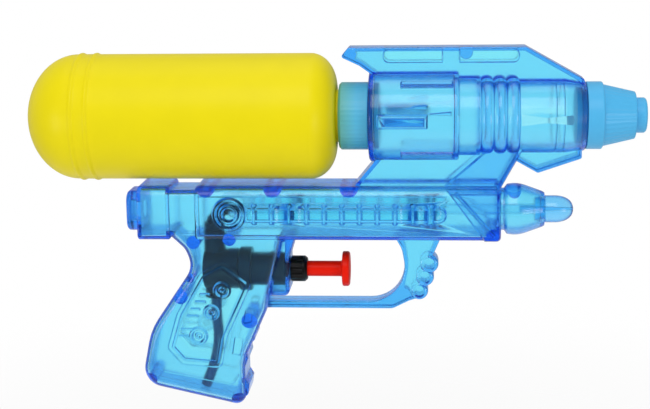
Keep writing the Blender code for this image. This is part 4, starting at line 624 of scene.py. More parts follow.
def drum_relief():
    """Bars, latch, leaf and needle on the drum, and the waisted strip on the fore end."""
    z = barrel_axis.z
    features = []
    for angle in (-BAR_ANGLE, BAR_ANGLE):
        rail = relief(box(87.9 * MM, 110.8 * MM, -1.65 * MM, 1.65 * MM), drum_side, 1.8 * MM, rim=0.8 * MM)
        rail.data.transform(Matrix.Translation(barrel_axis) @ Matrix.Rotation(angle, 4, "X"))
        features.append(rail)
    latch = box(77.8 * MM, 99.8 * MM, z - 3.25 * MM, z + 3.25 * MM, 0.3 * MM, 0.8 * MM)
    bolt = box(81.0 * MM, 98.6 * MM, z - 2.1 * MM, z + 2.1 * MM, 0.3 * MM, 0.6 * MM)
    leaf = mm((89.3, 100.5), (99.8, 100.5, 0.8), (99.8, 102.7, 0.8), (94.55, 102.3))
    needle = mm((100.6, 98.2), (109.9, 97.8), (109.9, 99.7), (100.6, 98.9))
    strip = mm((139.8, 92.8), (150.6, 94.2), (165.4, 92.8), (165.4, 97.8), (150.6, 96.4), (139.8, 97.8))
    features += [
        relief(latch, drum_side, 1.8 * MM, rim=0.8 * MM), relief(bolt, drum_side, 2.8 * MM, rim=0.6 * MM),
        relief(leaf, drum_side - 0.5 * MM, 2.2 * MM, rim=0.6 * MM),
        relief(needle, drum_side, 1.4 * MM, rim=0.35 * MM), relief(strip, fore_side, 2.0 * MM, rim=0.7 * MM)]
    return features


panel = mm(
    (8.5, 32.0, 3), (-2.1, 26.2, 6), (-12.9, 7.4, 8), (-17.7, -8.7, 3), (-11.0, -16.3, 3), (7.2, -17.7, 3),
    (9.6, -4.0, 12), (21.7, 22.2, 3))
PANEL_DEPTH = 1.1 * MM


def sunk_forms():
    """Cutters for the slots in the fin and the panel, finger marks and foot line on the grip."""
    fin_slots = [box(80.2 * MM, 106.2 * MM, 119.1 * MM, 125.3 * MM, 2.8 * MM, 0.4 * MM),
                 box(113.3 * MM, 139.3 * MM, 119.1 * MM, 125.3 * MM, 0.4 * MM, 2.8 * MM)]
    marks = [mm((18.4, 9.6, 0.6), (17.0, 3.0, 0.6), (21.0, 3.6, 0.6), (21.9, 9.9, 0.6)),
             mm((13.1, -3.1, 0.6), (11.8, -11.0, 0.6), (16.0, -11.9, 0.6), (17.1, -3.6, 0.6))]
    foot = stripe(rounded(mm((-19.5, -19.2), (11.5, -25.2, 3), (14.8, -20.5))), 1.0 * MM)
    pit = rod(slide_side - 1.0 * MM, slide_side + MARGIN, 2.5 * MM, (ring_x, 0, slide_axis.z), NEAR)
    line = box(-1.5 * MM, 108 * MM, 61.2 * MM, 61.8 * MM)
    discs = [rod(side - 0.3 * MM, side + MARGIN, 3.0 * MM, (x * MM, 0, z * MM), NEAR)
             for x, z, side in ((122.3, 70.6, web_side + EDGE), (31.0, 38.6, grip_side))]
    return ([recess(slot, fin_side, PANEL_DEPTH) for slot in fin_slots]
            + [recess(form, grip_side, PANEL_DEPTH) for form in [panel] + marks]
            + [recess(foot, grip_side, 0.6 * MM), recess(line, slide_side, 0.6 * MM), pit] + discs)


def panel_relief():
    """Ring bosses, short ribs and an inner border on the floor of the grip's panel."""
    floor_side = grip_side - PANEL_DEPTH
    border = relief(inset(panel, 1.6 * MM), floor_side, 1.8 * MM, rim=0.7 * MM)
    cut(border, extruded(inset(panel, 3.2 * MM), -grip_side - MARGIN, MARGIN - grip_side))
    features = [border]
    for x, z, outer in mm((7.9, 18.3, 4.2), (2.8, 8.0, 3.9), (-3.2, -2.8, 4.4)):
        for inner, reach, height in ((0.54, 1.0, 2.0), (0.08, 0.42, 1.6)):
            features.append(ridge(x, z, floor_side, height * MM, inner * outer, reach * outer))
    ribs = mm((-2.4, 2.4, 16.4), (-4.6, 0.6, 13.0), (-6.6, -2.0, 9.6), (-8.4, -3.0, 6.4), (-11.4, -5.4, 0.2),
              (-12.4, -7.4, -3.0))
    for start, end, z in ribs:
        sides = box(start, end, z - 0.7 * MM, z + 0.7 * MM, 0.6 * MM, 0.6 * MM)
        features.append(relief(sides, floor_side, 1.5 * MM, rim=0.45 * MM))
    return features


COLLAR_HOLE, NOSE_HOLE, MUZZLE_HOLE = 12.0 * MM, 11.3 * MM, 4.8 * MM
snout_hole = 35.9 * MM, 40.0 * MM, 5.1 * MM
flange_groove = 14.9 * MM, 20.8 * MM, 10.2 * MM
far_half, far_depth = box(-60 * MM, 190 * MM, -60 * MM, 140 * MM), 40 * MM
shell, *forms = outer_forms()
join(shell, *forms)
hollow, *spaces = hollow_forms()
join(hollow, *spaces)
deepest = slide_side + MARGIN
cut(hollow, *[rod(-deepest, deepest, radius, (x, 0, z), NEAR, 28) for x, z, radius in posts])
cut(shell, hollow)
join(shell, *slide_relief(), *drum_relief())
cut(shell, *sunk_forms())
join(shell, *panel_relief())
cut(shell,
    rod(rear_wall - MARGIN, rear_wall + 2 * END_WALL, COLLAR_HOLE, barrel_axis, sides=72),
    rod(fore_front - 2 * END_WALL, fore_front + MARGIN, NOSE_HOLE, barrel_axis, sides=72),
    rod(muzzle_front - 2 * END_WALL, muzzle_front + MARGIN, MUZZLE_HOLE, slide_axis, sides=48),
    rod(*snout_hole, pump_axis, sides=48),
    rod(*flange_groove, pump_axis, sides=48),
    extruded(far_half, -FIT / 2, far_depth))


def shaded(thing, angle=35):
    """Shade smoothly, but keep corners sharper than the angle."""
    thing.data.shade_smooth()
    thing.data.set_sharp_from_angle(angle=math.radians(angle))
    weigh = thing.modifiers.new("flat faces lead", "WEIGHTED_NORMAL")
    weigh.keep_sharp = True
    return thing


def place_piece(thing, name, body, material, slot, *nodes):
    """Name a finished piece, give it its material and body, and let it stand for its nodes."""
    thing.name = thing.data.name = name
    thing.data.materials.clear()
    thing.data.materials.append(material)
    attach(thing, body)
    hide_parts(*nodes)


mesh = bmesh.new()
mesh.from_mesh(shell.data)
bmesh.ops.dissolve_limit(mesh, angle_limit=math.radians(0.3), verts=mesh.verts, edges=mesh.edges)
mesh.to_mesh(shell.data)
mesh.transform(Matrix.Diagonal((1, -1, 1, 1)))
bmesh.ops.reverse_faces(mesh, faces=mesh.faces)
far_shell = as_object("far_shell", mesh)

WAVE_LENGTH, WAVE_HEIGHT = 7 * MM, 0.05 * MM
SLANT_START, SLANT_FULL = 0.28, 0.62
DARKEST = 1e-4


def clear_plastic(name, ior, roughness, skin, slant, tint, depth):
    """Clear moulded plastic: skin colours light that crosses a wall, slant light that crosses at a slant.

    Tint is the colour of light after depth inside. Slow waves from the mould and a faint haze keep the
    surface from looking like optical glass, and a glossy skin keeps its highlights sharp.
    """
    material, tree = blank_material(name)
    place = add(tree, "ShaderNodeTexCoord").outputs["Object"]
    waves = add(tree, "ShaderNodeTexNoise", {"Vector": place, "Scale": 1 / WAVE_LENGTH, "Detail": 1.0})
    bump = add(tree, "ShaderNodeBump", {"Height": waves.outputs[0], "Distance": WAVE_HEIGHT, "Strength": 1.0})
    haze = add(tree, "ShaderNodeMapRange", {
        "Value": waves.outputs[0], "To Min": roughness / 2, "To Max": roughness * 1.5})
    facing = add(tree, "ShaderNodeLayerWeight", {"Blend": 0.5})
    steep = add(tree, "ShaderNodeMapRange", {
        "Value": facing.outputs["Facing"], "From Min": SLANT_START, "From Max": SLANT_FULL},
        interpolation_type="SMOOTHSTEP")
    colour = add(tree, "ShaderNodeMix", {0: steep.outputs[0], 6: linear(skin), 7: linear(slant)},
                 data_type="RGBA")
    surface = add(tree, "ShaderNodeBsdfPrincipled", {
        "Base Color": colour.outputs[2], "Transmission Weight": 1.0, "IOR": ior, "Roughness": haze.outputs[0],
        "Normal": bump.outputs[0], "Specular IOR Level": 0.2, "Coat Weight": 0.2, "Coat Roughness": 0.03})
    density = max(-math.log(max(channel, DARKEST)) for channel in linear(tint)[:3]) / depth
    absorbed = [1 + math.log(max(channel, DARKEST)) / depth / density for channel in linear(tint)[:3]]
    volume = add(tree, "ShaderNodeVolumeAbsorption", {"Color": (*absorbed, 1.0), "Density": density})
    add(tree, "ShaderNodeOutputMaterial", {"Surface": surface.outputs[0], "Volume": volume.outputs[0]})
    return material


shell_plastic = clear_plastic(
    "clear blue polypropylene", 1.4, 0.2, "#bcfaff", "#469cf0", "#86b8ff", 12.0 * MM)
place_piece(shaded(shell), "shell_right", "housing", shell_plastic, "clear_blue_shell", "housing_right")
place_piece(shaded(far_shell), "shell_left", "housing", shell_plastic, "clear_blue_shell", "housing_left")


# Tank: a bottle blown from yellow polyethylene, with a domed end, two beads and a screw neck.
# It screws into the collar behind the barrel, two and a half turns.
tank_low, tank_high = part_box("tank")
BEAD, BEAD_LENGTH, BEAD_SPACING, BEAD_STEPS = 0.6 * MM, 3.2 * MM, 6.4 * MM, 8
TANK_WALL = 1.6 * MM
tank_radius = tank_high.y - BEAD
tank_mouth = tank_high.x
dome_end, shoulder_start, shoulder = tank_low.x + 23 * MM, 48.0 * MM, 59.5 * MM
NECK, NECK_BORE, SHOULDER_RADIUS = 11.6 * MM, 9.6 * MM, 13.8 * MM
QUARTER_STEPS = 24
quarter = [math.pi / 2 * step / QUARTER_STEPS for step in range(QUARTER_STEPS + 1)]


def bottle_side(wall):
    """Dome, straight side and round shoulder, drawn in by the wall."""
    dome = (dome_end - tank_low.x - wall, tank_radius - wall)
    drop = tank_radius - SHOULDER_RADIUS
    points = [(dome_end - dome[0] * math.cos(a), dome[1] * math.sin(a)) for a in quarter]
    if not wall:
        for start in (dome_end, dome_end + BEAD_SPACING):
            points += [(start + BEAD_LENGTH * step / BEAD_STEPS,
                        tank_radius + BEAD * math.sin(math.pi * step / BEAD_STEPS) ** 2)
                       for step in range(1, BEAD_STEPS + 1)]
    points += [(shoulder_start + (shoulder - shoulder_start - wall) * math.sin(a),
                tank_radius - wall - drop * (1 - math.cos(a))) for a in quarter[1:]]
    return points


outside = bottle_side(0) + [
    (shoulder, NECK, 0.6 * MM), (tank_mouth, NECK, 0.5 * MM), (tank_mouth, NECK_BORE, 0.3 * MM)]
inside = bottle_side(TANK_WALL)[:-1] + [(shoulder - TANK_WALL, NECK_BORE)]
tank = turned(outside + inside[::-1], barrel_axis, sides=144)

THREAD_LEAD, THREAD_TURNS, THREAD_STEPS = 4.5 * MM, 1.75, 48
THREAD_ROOT, THREAD_CREST = NECK - 0.3 * MM, 12.05 * MM


def helix(corners, turns, steps, pitch, place):
    """A small section of corners (along, radius) wound about an X axis through place."""
    mesh = bmesh.new()
    verts = [mesh.verts.new((along, 0, radius)) for along, radius in corners]
    face = mesh.faces.new(verts)
    bmesh.ops.spin(mesh, geom=verts + list(face.edges) + [face], cent=(0, 0, 0), axis=(1, 0, 0),
                   dvec=(pitch / steps, 0, 0), angle=turns * math.tau, steps=round(turns * steps))
    bmesh.ops.recalc_face_normals(mesh, faces=mesh.faces)
    bmesh.ops.translate(mesh, verts=mesh.verts, vec=place)
    put_in_order(mesh)
    return as_object("helix", mesh)


thread_start = shoulder + 1.6 * MM
thread = [(thread_start, THREAD_ROOT), (thread_start + 0.7 * MM, THREAD_CREST),
          (thread_start + 1.1 * MM, THREAD_CREST), (thread_start + 1.8 * MM, THREAD_ROOT)]
join(tank, helix(thread, THREAD_TURNS, THREAD_STEPS, THREAD_LEAD, barrel_axis))


CLOUD_SIZE, GLOSS_SPREAD = 14 * MM, 0.06


def moulded(name, colour, roughness, grain, depth, ior=1.5, shine=0.5, mottle=0.04, metal=0.0,
            end_colour=None, ends=(0, 1)):
    """Opaque moulded plastic or metal: uneven colour and gloss, and a fine bump of the given grain size.

    With an end colour, the colour changes along X between the two ends.
    """
    material, tree = blank_material(name)
    place = add(tree, "ShaderNodeTexCoord").outputs["Object"]
    cloud = add(tree, "ShaderNodeTexNoise", {"Vector": place, "Scale": 1 / CLOUD_SIZE, "Detail": 3.0})
    shade = add(tree, "ShaderNodeMapRange", {
        "Value": cloud.outputs[0], "To Min": 1 - mottle, "To Max": 1 + mottle})
    base = linear(colour)
    if end_colour:
        along = add(tree, "ShaderNodeSeparateXYZ", {0: place})
        share = add(tree, "ShaderNodeMapRange", {
            "Value": along.outputs[0], "From Min": ends[0], "From Max": ends[1]})
        base = add(tree, "ShaderNodeMix", {0: share.outputs[0], 6: base, 7: linear(end_colour)},
                   data_type="RGBA").outputs[2]
    tone = add(tree, "ShaderNodeMix", {0: 1.0, 6: base, 7: shade.outputs[0]}, data_type="RGBA",
               blend_type="MULTIPLY")
    fine = add(tree, "ShaderNodeTexNoise", {"Vector": place, "Scale": 1 / grain, "Detail": 2.0})
    gloss = add(tree, "ShaderNodeMapRange", {
        "Value": fine.outputs[0], "To Min": roughness - GLOSS_SPREAD, "To Max": roughness + GLOSS_SPREAD})
    bump = add(tree, "ShaderNodeBump", {"Height": fine.outputs[0], "Distance": depth, "Strength": 1.0})
    surface = add(tree, "ShaderNodeBsdfPrincipled", {
        "Base Color": tone.outputs[2], "Roughness": gloss.outputs[0], "Normal": bump.outputs[0], "IOR": ior,
        "Specular IOR Level": shine, "Metallic": metal})
    add(tree, "ShaderNodeOutputMaterial", {"Surface": surface.outputs[0]})
    return material


yellow = moulded("blown yellow polyethylene", "#ecdb06", 0.38, 1.2 * MM, 0.02 * MM, ior=1.54, shine=0.15)
place_piece(shaded(tank), "tank_bottle", "tank", yellow, "yellow_tank", "tank")


# Mouth seal: a soft white plug and washer in the tank's mouth, moulded from silicone.
# It comes out with the tank, without turning.
seal_low, seal_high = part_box("mouth_seal")
FLOW = 6.0 * MM
seal_flange = tank_mouth + FIT
seal = turned([
    (seal_low.x, FLOW, 0.3 * MM), (seal_low.x, NECK_BORE - FIT, 0.6 * MM), (seal_flange, NECK_BORE - FIT),
    (seal_flange, NECK, 0.3 * MM), (seal_high.x, NECK, 0.3 * MM), (seal_high.x, FLOW, 0.3 * MM)], barrel_axis)
silicone = moulded("moulded white silicone", "#e8e8e2", 0.6, 0.5 * MM, 0.01 * MM, ior=1.41)
place_piece(shaded(seal), "seal_plug", "mouth_seal", silicone, "white_seal", "mouth_seal")


# Collar: the sky-blue screw socket for the tank, moulded with fine grip ribs.
# Its flange is trapped behind the shell's rear wall.
collar_low, collar_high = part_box("tank_collar")
COLLAR, SOCKET, COLLAR_NECK, COLLAR_FLANGE = 14.9 * MM, 12.2 * MM, 11.7 * MM, 14.6 * MM
collar_front = rear_wall - FIT
flange = collar_high.x - 2.0 * MM
RIBS = 44


def fluted(thing, place, count, depth, start, end, least):
    """Sink every second strip of a turned surface, to leave ribs along its axis."""
    for vert in thing.data.vertices:
        across = (vert.co - place) * Vector((0, 1, 1))
        turn = math.atan2(across.y, across.z) / math.tau * count * 4
        if start < vert.co.x < end and across.length > least and round(turn) % 4 > 1:
            vert.co -= across.normalized() * depth


collar = turned([
    (collar_low.x, SOCKET, 0.3 * MM), (collar_low.x, COLLAR - 1.0 * MM, 0.3 * MM),
    (collar_low.x + 1.0 * MM, COLLAR, 0.3 * MM), (collar_low.x + 1.3 * MM, COLLAR),
    (collar_front - 1.2 * MM, COLLAR), (collar_front - 1.1 * MM, COLLAR), (collar_front, COLLAR, 0.3 * MM),
    (collar_front, COLLAR_NECK), (flange, COLLAR_NECK), (flange, COLLAR_FLANGE),
    (collar_high.x, COLLAR_FLANGE), (collar_high.x, FLOW), (collar_front - 1.2 * MM, FLOW),
    (collar_front - 1.2 * MM, SOCKET)],
    barrel_axis, sides=RIBS * 4)
fluted(collar, barrel_axis, RIBS, 0.1 * MM, collar_low.x + 1.2 * MM, collar_front - 1.15 * MM, 14.2 * MM)
# Painted light: the colour is painted greener towards the tank, standing in for the yellow neck's light
# shining through the thin socket.
sky_blue = moulded("moulded sky-blue polypropylene collar", "#66b4aa", 0.36, 0.8 * MM, 0.01 * MM, shine=0.3,
                   end_colour="#56b8e0", ends=(collar_low.x, collar_low.x + 8 * MM))
place_piece(shaded(collar, 25), "collar_ring", "housing", sky_blue, "sky_blue_plastic", "tank_collar")


# Nose: a stepped sky-blue cone with a blind bore, which closes the upper barrel.
# Its spigot is trapped behind the shell's front wall.
nose_low, nose_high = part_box("barrel_nose")
SPIGOT, NOSE_BASE, CONE_ROOT, CONE_END, TIP = 11.0 * MM, 14.75 * MM, 13.5 * MM, 10.3 * MM, 7.7 * MM
NOSE_FLANGE, NOSE_BORE, NOSE_BORE_DEPTH, NOSE_RIBS = 12.2 * MM, 3.5 * MM, 8.9 * MM, 36
nose_base = fore_front + FIT
base_front = nose_base + 7.2 * MM
cone_front = base_front + 14.0 * MM
nose = turned([
    (nose_low.x, 0), (nose_low.x, NOSE_FLANGE), (nose_low.x + END_WALL, NOSE_FLANGE),
    (nose_low.x + END_WALL, SPIGOT), (nose_base, SPIGOT), (nose_base, NOSE_BASE, 0.4 * MM),
    (base_front, NOSE_BASE, 0.9 * MM), (base_front, CONE_ROOT, 0.2 * MM),
    (base_front + 0.6 * MM, CONE_ROOT - 0.1 * MM), (cone_front - 0.6 * MM, CONE_END + 0.1 * MM),
    (cone_front, CONE_END, 0.5 * MM), (cone_front, TIP, 0.3 * MM), (nose_high.x, TIP, 1.4 * MM),
    (nose_high.x, NOSE_BORE, 0.3 * MM), (nose_high.x - NOSE_BORE_DEPTH, NOSE_BORE),
    (nose_high.x - NOSE_BORE_DEPTH, 0)], barrel_axis, sides=NOSE_RIBS * 4)
fluted(nose, barrel_axis, NOSE_RIBS, 0.15 * MM, base_front + 0.4 * MM, cone_front - 0.4 * MM, 9.0 * MM)
nose_blue = moulded("moulded sky-blue polypropylene nose", "#50b6ea", 0.34, 0.8 * MM, 0.01 * MM, shine=0.3)
place_piece(shaded(nose, 25), "nose_cone", "housing", nose_blue, "sky_blue_plastic", "barrel_nose")


# Nozzle: a small milky blue bullet with the jet hole, pushed into the lower muzzle.
# Inside it a barb takes the tube from the pump.
nozzle_low, nozzle_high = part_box("nozzle")
NOZZLE, JET, BARB, WATERWAY = 6.0 * MM, 0.6 * MM, 1.5 * MM, 0.8 * MM
NOZZLE_FLANGE, NOZZLE_NECK = 5.2 * MM, 4.5 * MM
nozzle_flange = muzzle_front - 2 * END_WALL - FIT
bullet = muzzle_front + FIT + 4.3 * MM
nozzle = turned([
    (nozzle_low.x, WATERWAY), (nozzle_low.x, BARB), (nozzle_flange, BARB), (nozzle_flange, NOZZLE_FLANGE),
    (nozzle_flange + END_WALL, NOZZLE_FLANGE), (nozzle_flange + END_WALL, NOZZLE_NECK),
    (muzzle_front + FIT, NOZZLE_NECK), (muzzle_front + FIT, NOZZLE, 0.4 * MM)]
    + [(bullet + (nozzle_high.x - bullet) * math.sin(a), NOZZLE * math.cos(a) ** 0.8) for a in quarter[:-3]]
    + [(nozzle_high.x, 1.2 * MM, 0.2 * MM), (nozzle_high.x, JET), (bullet, JET),
       (bullet - 0.6 * MM, WATERWAY)], slide_axis, sides=64)
nozzle_plastic = clear_plastic(
    "milky blue polypropylene", 1.4, 0.2, "#b0e8ff", "#4a9cea", "#b4e4fd", 10.0 * MM)
place_piece(shaded(nozzle), "nozzle_bullet", "housing", nozzle_plastic, "clear_blue_nozzle", "nozzle")


# Pump barrel: the black cylinder that the piston slides in, with a flange behind and a snout in front.
# It is moulded in glossy black ABS and sits in a bore between the two halves.
flange_rear, flange_front, snout_rear, snout_front = (x * MM for x in (17.2, 20.5, 35.9, 43.0))
FLANGE, CYLINDER, SNOUT, BORE, ROD = 9.9 * MM, 7.5 * MM, 4.8 * MM, 5.3 * MM, 3.5 * MM
skirt_rear, skirt_bore = flange_rear - 2.0 * MM, FLANGE - 1.4 * MM
bore_front = snout_rear - END_WALL
cylinder = turned([
    (skirt_rear, skirt_bore), (skirt_rear, FLANGE, 0.3 * MM), (flange_front, FLANGE, 0.5 * MM),
    (flange_front, CYLINDER, 0.3 * MM), (snout_rear, CYLINDER, 0.6 * MM), (snout_rear, SNOUT),
    (snout_front, SNOUT, 0.3 * MM), (snout_front, ROD + FIT), (bore_front, ROD + FIT), (bore_front, BORE),
    (flange_rear, BORE), (flange_rear, skirt_bore)], pump_axis, sides=72)
black = moulded("moulded black ABS pump", "#0a1e3c", 0.35, 0.6 * MM, 0.008 * MM, shine=0.3, mottle=0.1)
place_piece(shaded(cylinder), "pump_cylinder", "housing", black, "black_plastic", "pump_barrel")


# Valve block: the closed rear end of the pump, with a tower that holds the two ball valves.
# It is black ABS, pressed into the skirt of the pump barrel.
block_low, block_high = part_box("valve_block")
UP = (0, 0, 1)
tower_axis = Vector((middle_of("inlet_fitting").x, 0, 0))
TOWER, CHAMBER, THROAT, BALL, LIFT = 4.8 * MM, 2.6 * MM, 1.4 * MM, 2.0 * MM, 1.0 * MM
BLOCK = 9.2 * MM
bore_rear = 8.2 * MM
inlet_seat, outlet_seat = pump_axis.z - 6.9 * MM, pump_axis.z + 6.1 * MM
cage_top = inlet_seat + 2 * BALL + FIT + LIFT
block_step = skirt_rear - 2 * FIT
block = turned([
    (block_low.x, 0), (block_low.x, BLOCK, 1.2 * MM), (block_step, BLOCK, 0.3 * MM),
    (block_step, skirt_bore - FIT), (block_high.x, skirt_bore - FIT), (block_high.x, 0)], pump_axis, sides=72)
join(block, turned([
    (block_low.z, 0), (block_low.z, TOWER, 0.4 * MM), (block_high.z, TOWER, 0.4 * MM), (block_high.z, 0)],
    tower_axis, UP, 48, PHASE))
cut(block,
    rod(bore_rear, flange_rear, BORE, pump_axis, sides=48),
    turned([(block_low.z - MARGIN, 0), (block_low.z - MARGIN, CHAMBER), (cage_top, CHAMBER),
            (cage_top, THROAT), (outlet_seat, THROAT), (outlet_seat + CHAMBER - THROAT, CHAMBER),
            (block_high.z + MARGIN, CHAMBER), (block_high.z + MARGIN, 0)], tower_axis, UP, 40),
    rod(tower_axis.x, bore_rear + MARGIN, THROAT, pump_axis, sides=24))
place_piece(shaded(block), "valve_tower", "housing", black, "black_plastic", "valve_block")


# Valve balls: two steel balls, one over the inlet seat and one over the outlet seat.
# The water lifts them off their seats by a millimetre.
chrome = moulded("polished ball steel", "#c4c8cc", 0.14, 0.4 * MM, 0.002 * MM, metal=1.0)


def ball(centre, radius):
    """A ball of many small facets."""
    mesh = bmesh.new()
    bmesh.ops.create_uvsphere(mesh, u_segments=40, v_segments=24, radius=radius,
                              matrix=Matrix.Translation(centre))
    put_in_order(mesh)
    return as_object("ball", mesh)


for name in ("inlet_ball", "outlet_ball"):
    bead = shaded(ball(middle_of(name), BALL))
    place_piece(bead, name.replace("ball", "bead"), name, chrome, "ball_steel", name)


# Inlet fitting: the black plug under the tower, with the lower valve's seat and a barb for the intake tube.
# It is pressed into the tower.
fitting_low, fitting_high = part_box("inlet_fitting")
fitting_flange = block_low.z - FIT
fitting_step = fitting_flange - END_WALL
fitting = turned([
    (fitting_low.z, WATERWAY), (fitting_low.z, BARB, 0.2 * MM), (fitting_step, BARB),
    (fitting_step, TOWER, 0.4 * MM), (fitting_flange, TOWER, 0.2 * MM), (fitting_flange, CHAMBER - FIT),
    (fitting_high.z, CHAMBER - FIT, 0.2 * MM), (fitting_high.z, THROAT),
    (fitting_high.z - 0.6 * MM, WATERWAY)], tower_axis, UP, 48)
place_piece(shaded(fitting), "inlet_plug", "housing", black, "black_plastic", "inlet_fitting")


# Outlet elbow: the black elbow on the tower, with a slanted arm and a barb for the outlet tube.
# Its plug keeps the upper ball in its chamber.
elbow_low, elbow_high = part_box("outlet_elbow")
ELBOW_COLLAR, ELBOW_ARM, KNUCKLE = 4.6 * MM, 3.1 * MM, 3.4 * MM
elbow_foot = block_high.z + FIT
elbow_step = elbow_foot + 3.2 * MM
arm_front = 10.2 * MM
knee = Vector((tower_axis.x, 0, elbow_step + 0.5 * MM))
mouth = Vector((arm_front - 3.0 * MM, 0, slide_axis.z))
slant = mouth - knee
elbow = turned([
    (elbow_low.z, 0), (elbow_low.z, CHAMBER - FIT, 0.2 * MM), (elbow_foot, CHAMBER - FIT),
    (elbow_foot, ELBOW_COLLAR, 0.3 * MM), (elbow_step, ELBOW_COLLAR, 0.4 * MM), (elbow_step, ELBOW_ARM),
    (knee.z, ELBOW_ARM), (knee.z, 0)], tower_axis, UP, 40)
join(elbow, ball(knee, KNUCKLE), rod(0, slant.length, ELBOW_ARM, knee, slant, 40), ball(mouth, KNUCKLE),
     turned([(mouth.x, 0), (mouth.x, ELBOW_ARM), (arm_front, ELBOW_ARM, 0.3 * MM), (arm_front, BARB),
             (elbow_high.x, BARB, 0.2 * MM), (elbow_high.x, 0)], slide_axis, sides=40))
cut(elbow, rod(elbow_low.z - MARGIN, knee.z, WATERWAY, tower_axis, UP, 20),
    rod(-FIT, slant.length + FIT, WATERWAY, knee, slant, 20),
    rod(mouth.x, elbow_high.x + MARGIN, WATERWAY, slide_axis, sides=20))
place_piece(shaded(elbow), "outlet_bend", "housing", black, "black_plastic", "outlet_elbow")


# Outlet tube: a soft clear tube along the slide, from the elbow's barb to the nozzle's.
# It is extruded from clear vinyl, so it hardly shows.
tube_low, tube_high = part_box("outlet_tube")
TUBE, TUBE_BORE = 2.4 * MM, 1.8 * MM
tube = turned([(tube_low.x, TUBE_BORE), (tube_low.x, TUBE, 0.1 * MM), (tube_high.x, TUBE, 0.1 * MM),
               (tube_high.x, TUBE_BORE)], slide_axis, sides=40)
vinyl = clear_plastic("clear extruded vinyl", 1.3, 0.06, "#f4fbff", "#a8d4f4", "#dff2fa", 5.0 * MM)
place_piece(shaded(tube), "outlet_hose", "housing", vinyl, "clear_tube", "outlet_tube")


# Intake tube: a soft dark blue tube that hangs from the inlet fitting to the foot of the grip.
# It leans to the heel, as it was pushed in.
intake_low, intake_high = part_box("intake_tube")
drop = intake_high.z - intake_low.z
leans = ((0.0, 0.0), (0.18, 0.0), (0.45, -0.10), (0.65, 0.10), (0.85, 0.55), (1.0, 1.0))
HEEL_LEAN = 5.8 * MM
route = [Vector((tower_axis.x - HEEL_LEAN * lean, 0, intake_high.z - drop * share)) for share, lean in leans]


def bent_rod(route, radius, extra, sides=8):
    """A round bar along a smooth curve through the route, longer by extra at both ends."""
    curve = bpy.data.curves.new("bent_rod", "CURVE")
    curve.dimensions = "3D"
    curve.bevel_depth = radius
    curve.bevel_resolution = sides
    curve.use_fill_caps = True
    spline = curve.splines.new("BEZIER")
    spline.bezier_points.add(len(route) - 1)
    for point, place in zip(spline.bezier_points, route):
        point.co = place
        point.handle_left_type = point.handle_right_type = "AUTO"
    for end, inner in ((0, 1), (-1, -2)):
        spline.bezier_points[end].co += (route[end] - route[inner]).normalized() * extra
    guide = bpy.data.objects.new("bent_rod", curve)
    scene.collection.objects.link(guide)
    graph = bpy.context.evaluated_depsgraph_get()
    mesh = bmesh.new()
    mesh.from_mesh(bpy.data.meshes.new_from_object(guide.evaluated_get(graph)))
    bpy.data.objects.remove(guide, do_unlink=True)
    bmesh.ops.remove_doubles(mesh, verts=mesh.verts, dist=1e-6)
    bmesh.ops.recalc_face_normals(mesh, faces=mesh.faces)
    return as_object("bent_rod", mesh)


intake = cut(bent_rod(route, TUBE, 0.0), bent_rod(route, TUBE_BORE, MARGIN))
blue_vinyl = moulded("extruded dark blue vinyl", "#1f4f86", 0.28, 0.9 * MM, 0.01 * MM)
place_piece(shaded(intake), "intake_hose", "housing", blue_vinyl, "blue_tube", "intake_tube")


# Pump nut: the ribbed black cap that clamps the pump's snout to the shell.
# It is moulded in the same black ABS, with a seal under its end.
nut_low, nut_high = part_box("pump_nut")
NUT = 5.85 * MM
NUT_RIBS = 20
nut_step = nut_high.x - 1.0 * MM
nut = turned([
    (nut_low.x, SNOUT + FIT), (nut_low.x, NUT, 0.3 * MM), (nut_high.x - 2.0 * MM, NUT),
    (nut_high.x - 1.9 * MM, NUT), (nut_high.x - 1.2 * MM, NUT, 0.4 * MM),
    (nut_high.x, NUT - 1.0 * MM, 0.3 * MM), (nut_high.x, ROD + FIT), (nut_step, ROD + FIT),
    (nut_step, SNOUT + FIT)], pump_axis, sides=NUT_RIBS * 4)
fluted(nut, pump_axis, NUT_RIBS, 0.4 * MM, nut_low.x + 0.4 * MM, nut_high.x - 1.95 * MM, 5.2 * MM)
nut_black = moulded("moulded black ABS nut", "#050506", 0.34, 0.6 * MM, 0.008 * MM, shine=0.2, mottle=0.1)
place_piece(shaded(nut, 25), "nut_cap", "housing", nut_black, "black_plastic", "pump_nut")


# Rod seal and piston cup: two rings of black rubber, one under the nut and one on the piston's head.
# They keep the water in, and the rubber is dull beside the moulded parts.
rubber = moulded("moulded black rubber", "#1c1c1c", 0.7, 0.3 * MM, 0.01 * MM, mottle=0.1)
ring_low, ring_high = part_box("rod_seal")
rod_ring = turned([(ring_low.x, ROD + FIT), (ring_low.x, SNOUT, 0.3 * MM), (ring_high.x, SNOUT, 0.3 * MM),
                   (ring_high.x, ROD + FIT)], pump_axis, sides=64)
place_piece(shaded(rod_ring), "rod_ring", "housing", rubber, "black_rubber", "rod_seal")
cup_low, cup_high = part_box("piston_cup")
STEM = 2.6 * MM
cup = turned([(cup_low.x, STEM + FIT), (cup_low.x, BORE - FIT, 0.4 * MM),
              (cup_low.x + 1.2 * MM, BORE - 2 * FIT), (cup_high.x, BORE - FIT, 0.4 * MM),
              (cup_high.x, STEM + FIT)], pump_axis, sides=64)
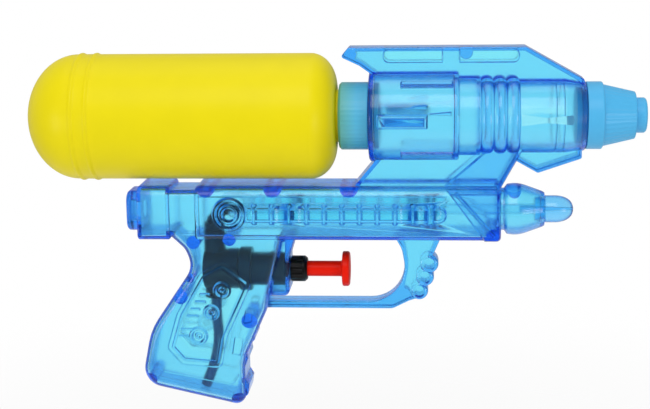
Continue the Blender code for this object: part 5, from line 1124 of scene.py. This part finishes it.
place_piece(shaded(cup), "cup_ring", "trigger", rubber, "black_rubber", "piston_cup")


# Trigger: the red plunger, a round finger plate on a rod that ends in the piston's head.
# It slides through the nut and carries the rubber cup.
trigger_low, trigger_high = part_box("trigger")
DISC, PISTON_TIP = 7.9 * MM, 3.4 * MM
disc_rear = trigger_high.x - 3.3 * MM
head_front = bore_front - FIT
trigger = turned([
    (trigger_low.x, 0), (trigger_low.x, PISTON_TIP, 0.2 * MM), (cup_low.x - FIT, PISTON_TIP, 0.2 * MM),
    (cup_low.x - FIT, STEM), (cup_high.x + FIT, STEM), (cup_high.x + FIT, BORE - FIT),
    (head_front, BORE - FIT), (head_front, ROD), (disc_rear, ROD, 1.2 * MM), (disc_rear, DISC, 0.7 * MM),
    (trigger_high.x, DISC, 1.1 * MM), (trigger_high.x, 5.6 * MM, 1.5 * MM),
    (trigger_high.x - 0.5 * MM, 4.2 * MM, 1.5 * MM), (trigger_high.x - 0.5 * MM, 0)], pump_axis, sides=72)
red = moulded("moulded red polypropylene", "#e81c06", 0.32, 0.8 * MM, 0.008 * MM, shine=0.1)
place_piece(shaded(trigger), "trigger_plunger", "trigger", red, "red_plastic", "trigger")


# Return spring: wound from steel wire, between the bore's closed end and the piston's head.
# It closes up as the trigger comes back, but here it is drawn at one length, with the housing.
spring_low, spring_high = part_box("return_spring")
WIRE, COIL, COIL_TURNS, COIL_STEPS, WIRE_SIDES = 0.3 * MM, 4.0 * MM, 5.5, 32, 12
coil_pitch = (spring_high.x - spring_low.x - 2 * WIRE) / COIL_TURNS
wire = [(spring_low.x + WIRE + WIRE * math.cos(math.tau * side / WIRE_SIDES),
         COIL + WIRE * math.sin(math.tau * side / WIRE_SIDES)) for side in range(WIRE_SIDES)]
spring = helix(wire, COIL_TURNS, COIL_STEPS, coil_pitch, pump_axis)
spring_steel = moulded("drawn spring steel", "#b8bcc0", 0.3, 0.3 * MM, 0.004 * MM, metal=1.0)
place_piece(shaded(spring), "spring_coil", "housing", spring_steel, "spring_steel", "return_spring")
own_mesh(spring)
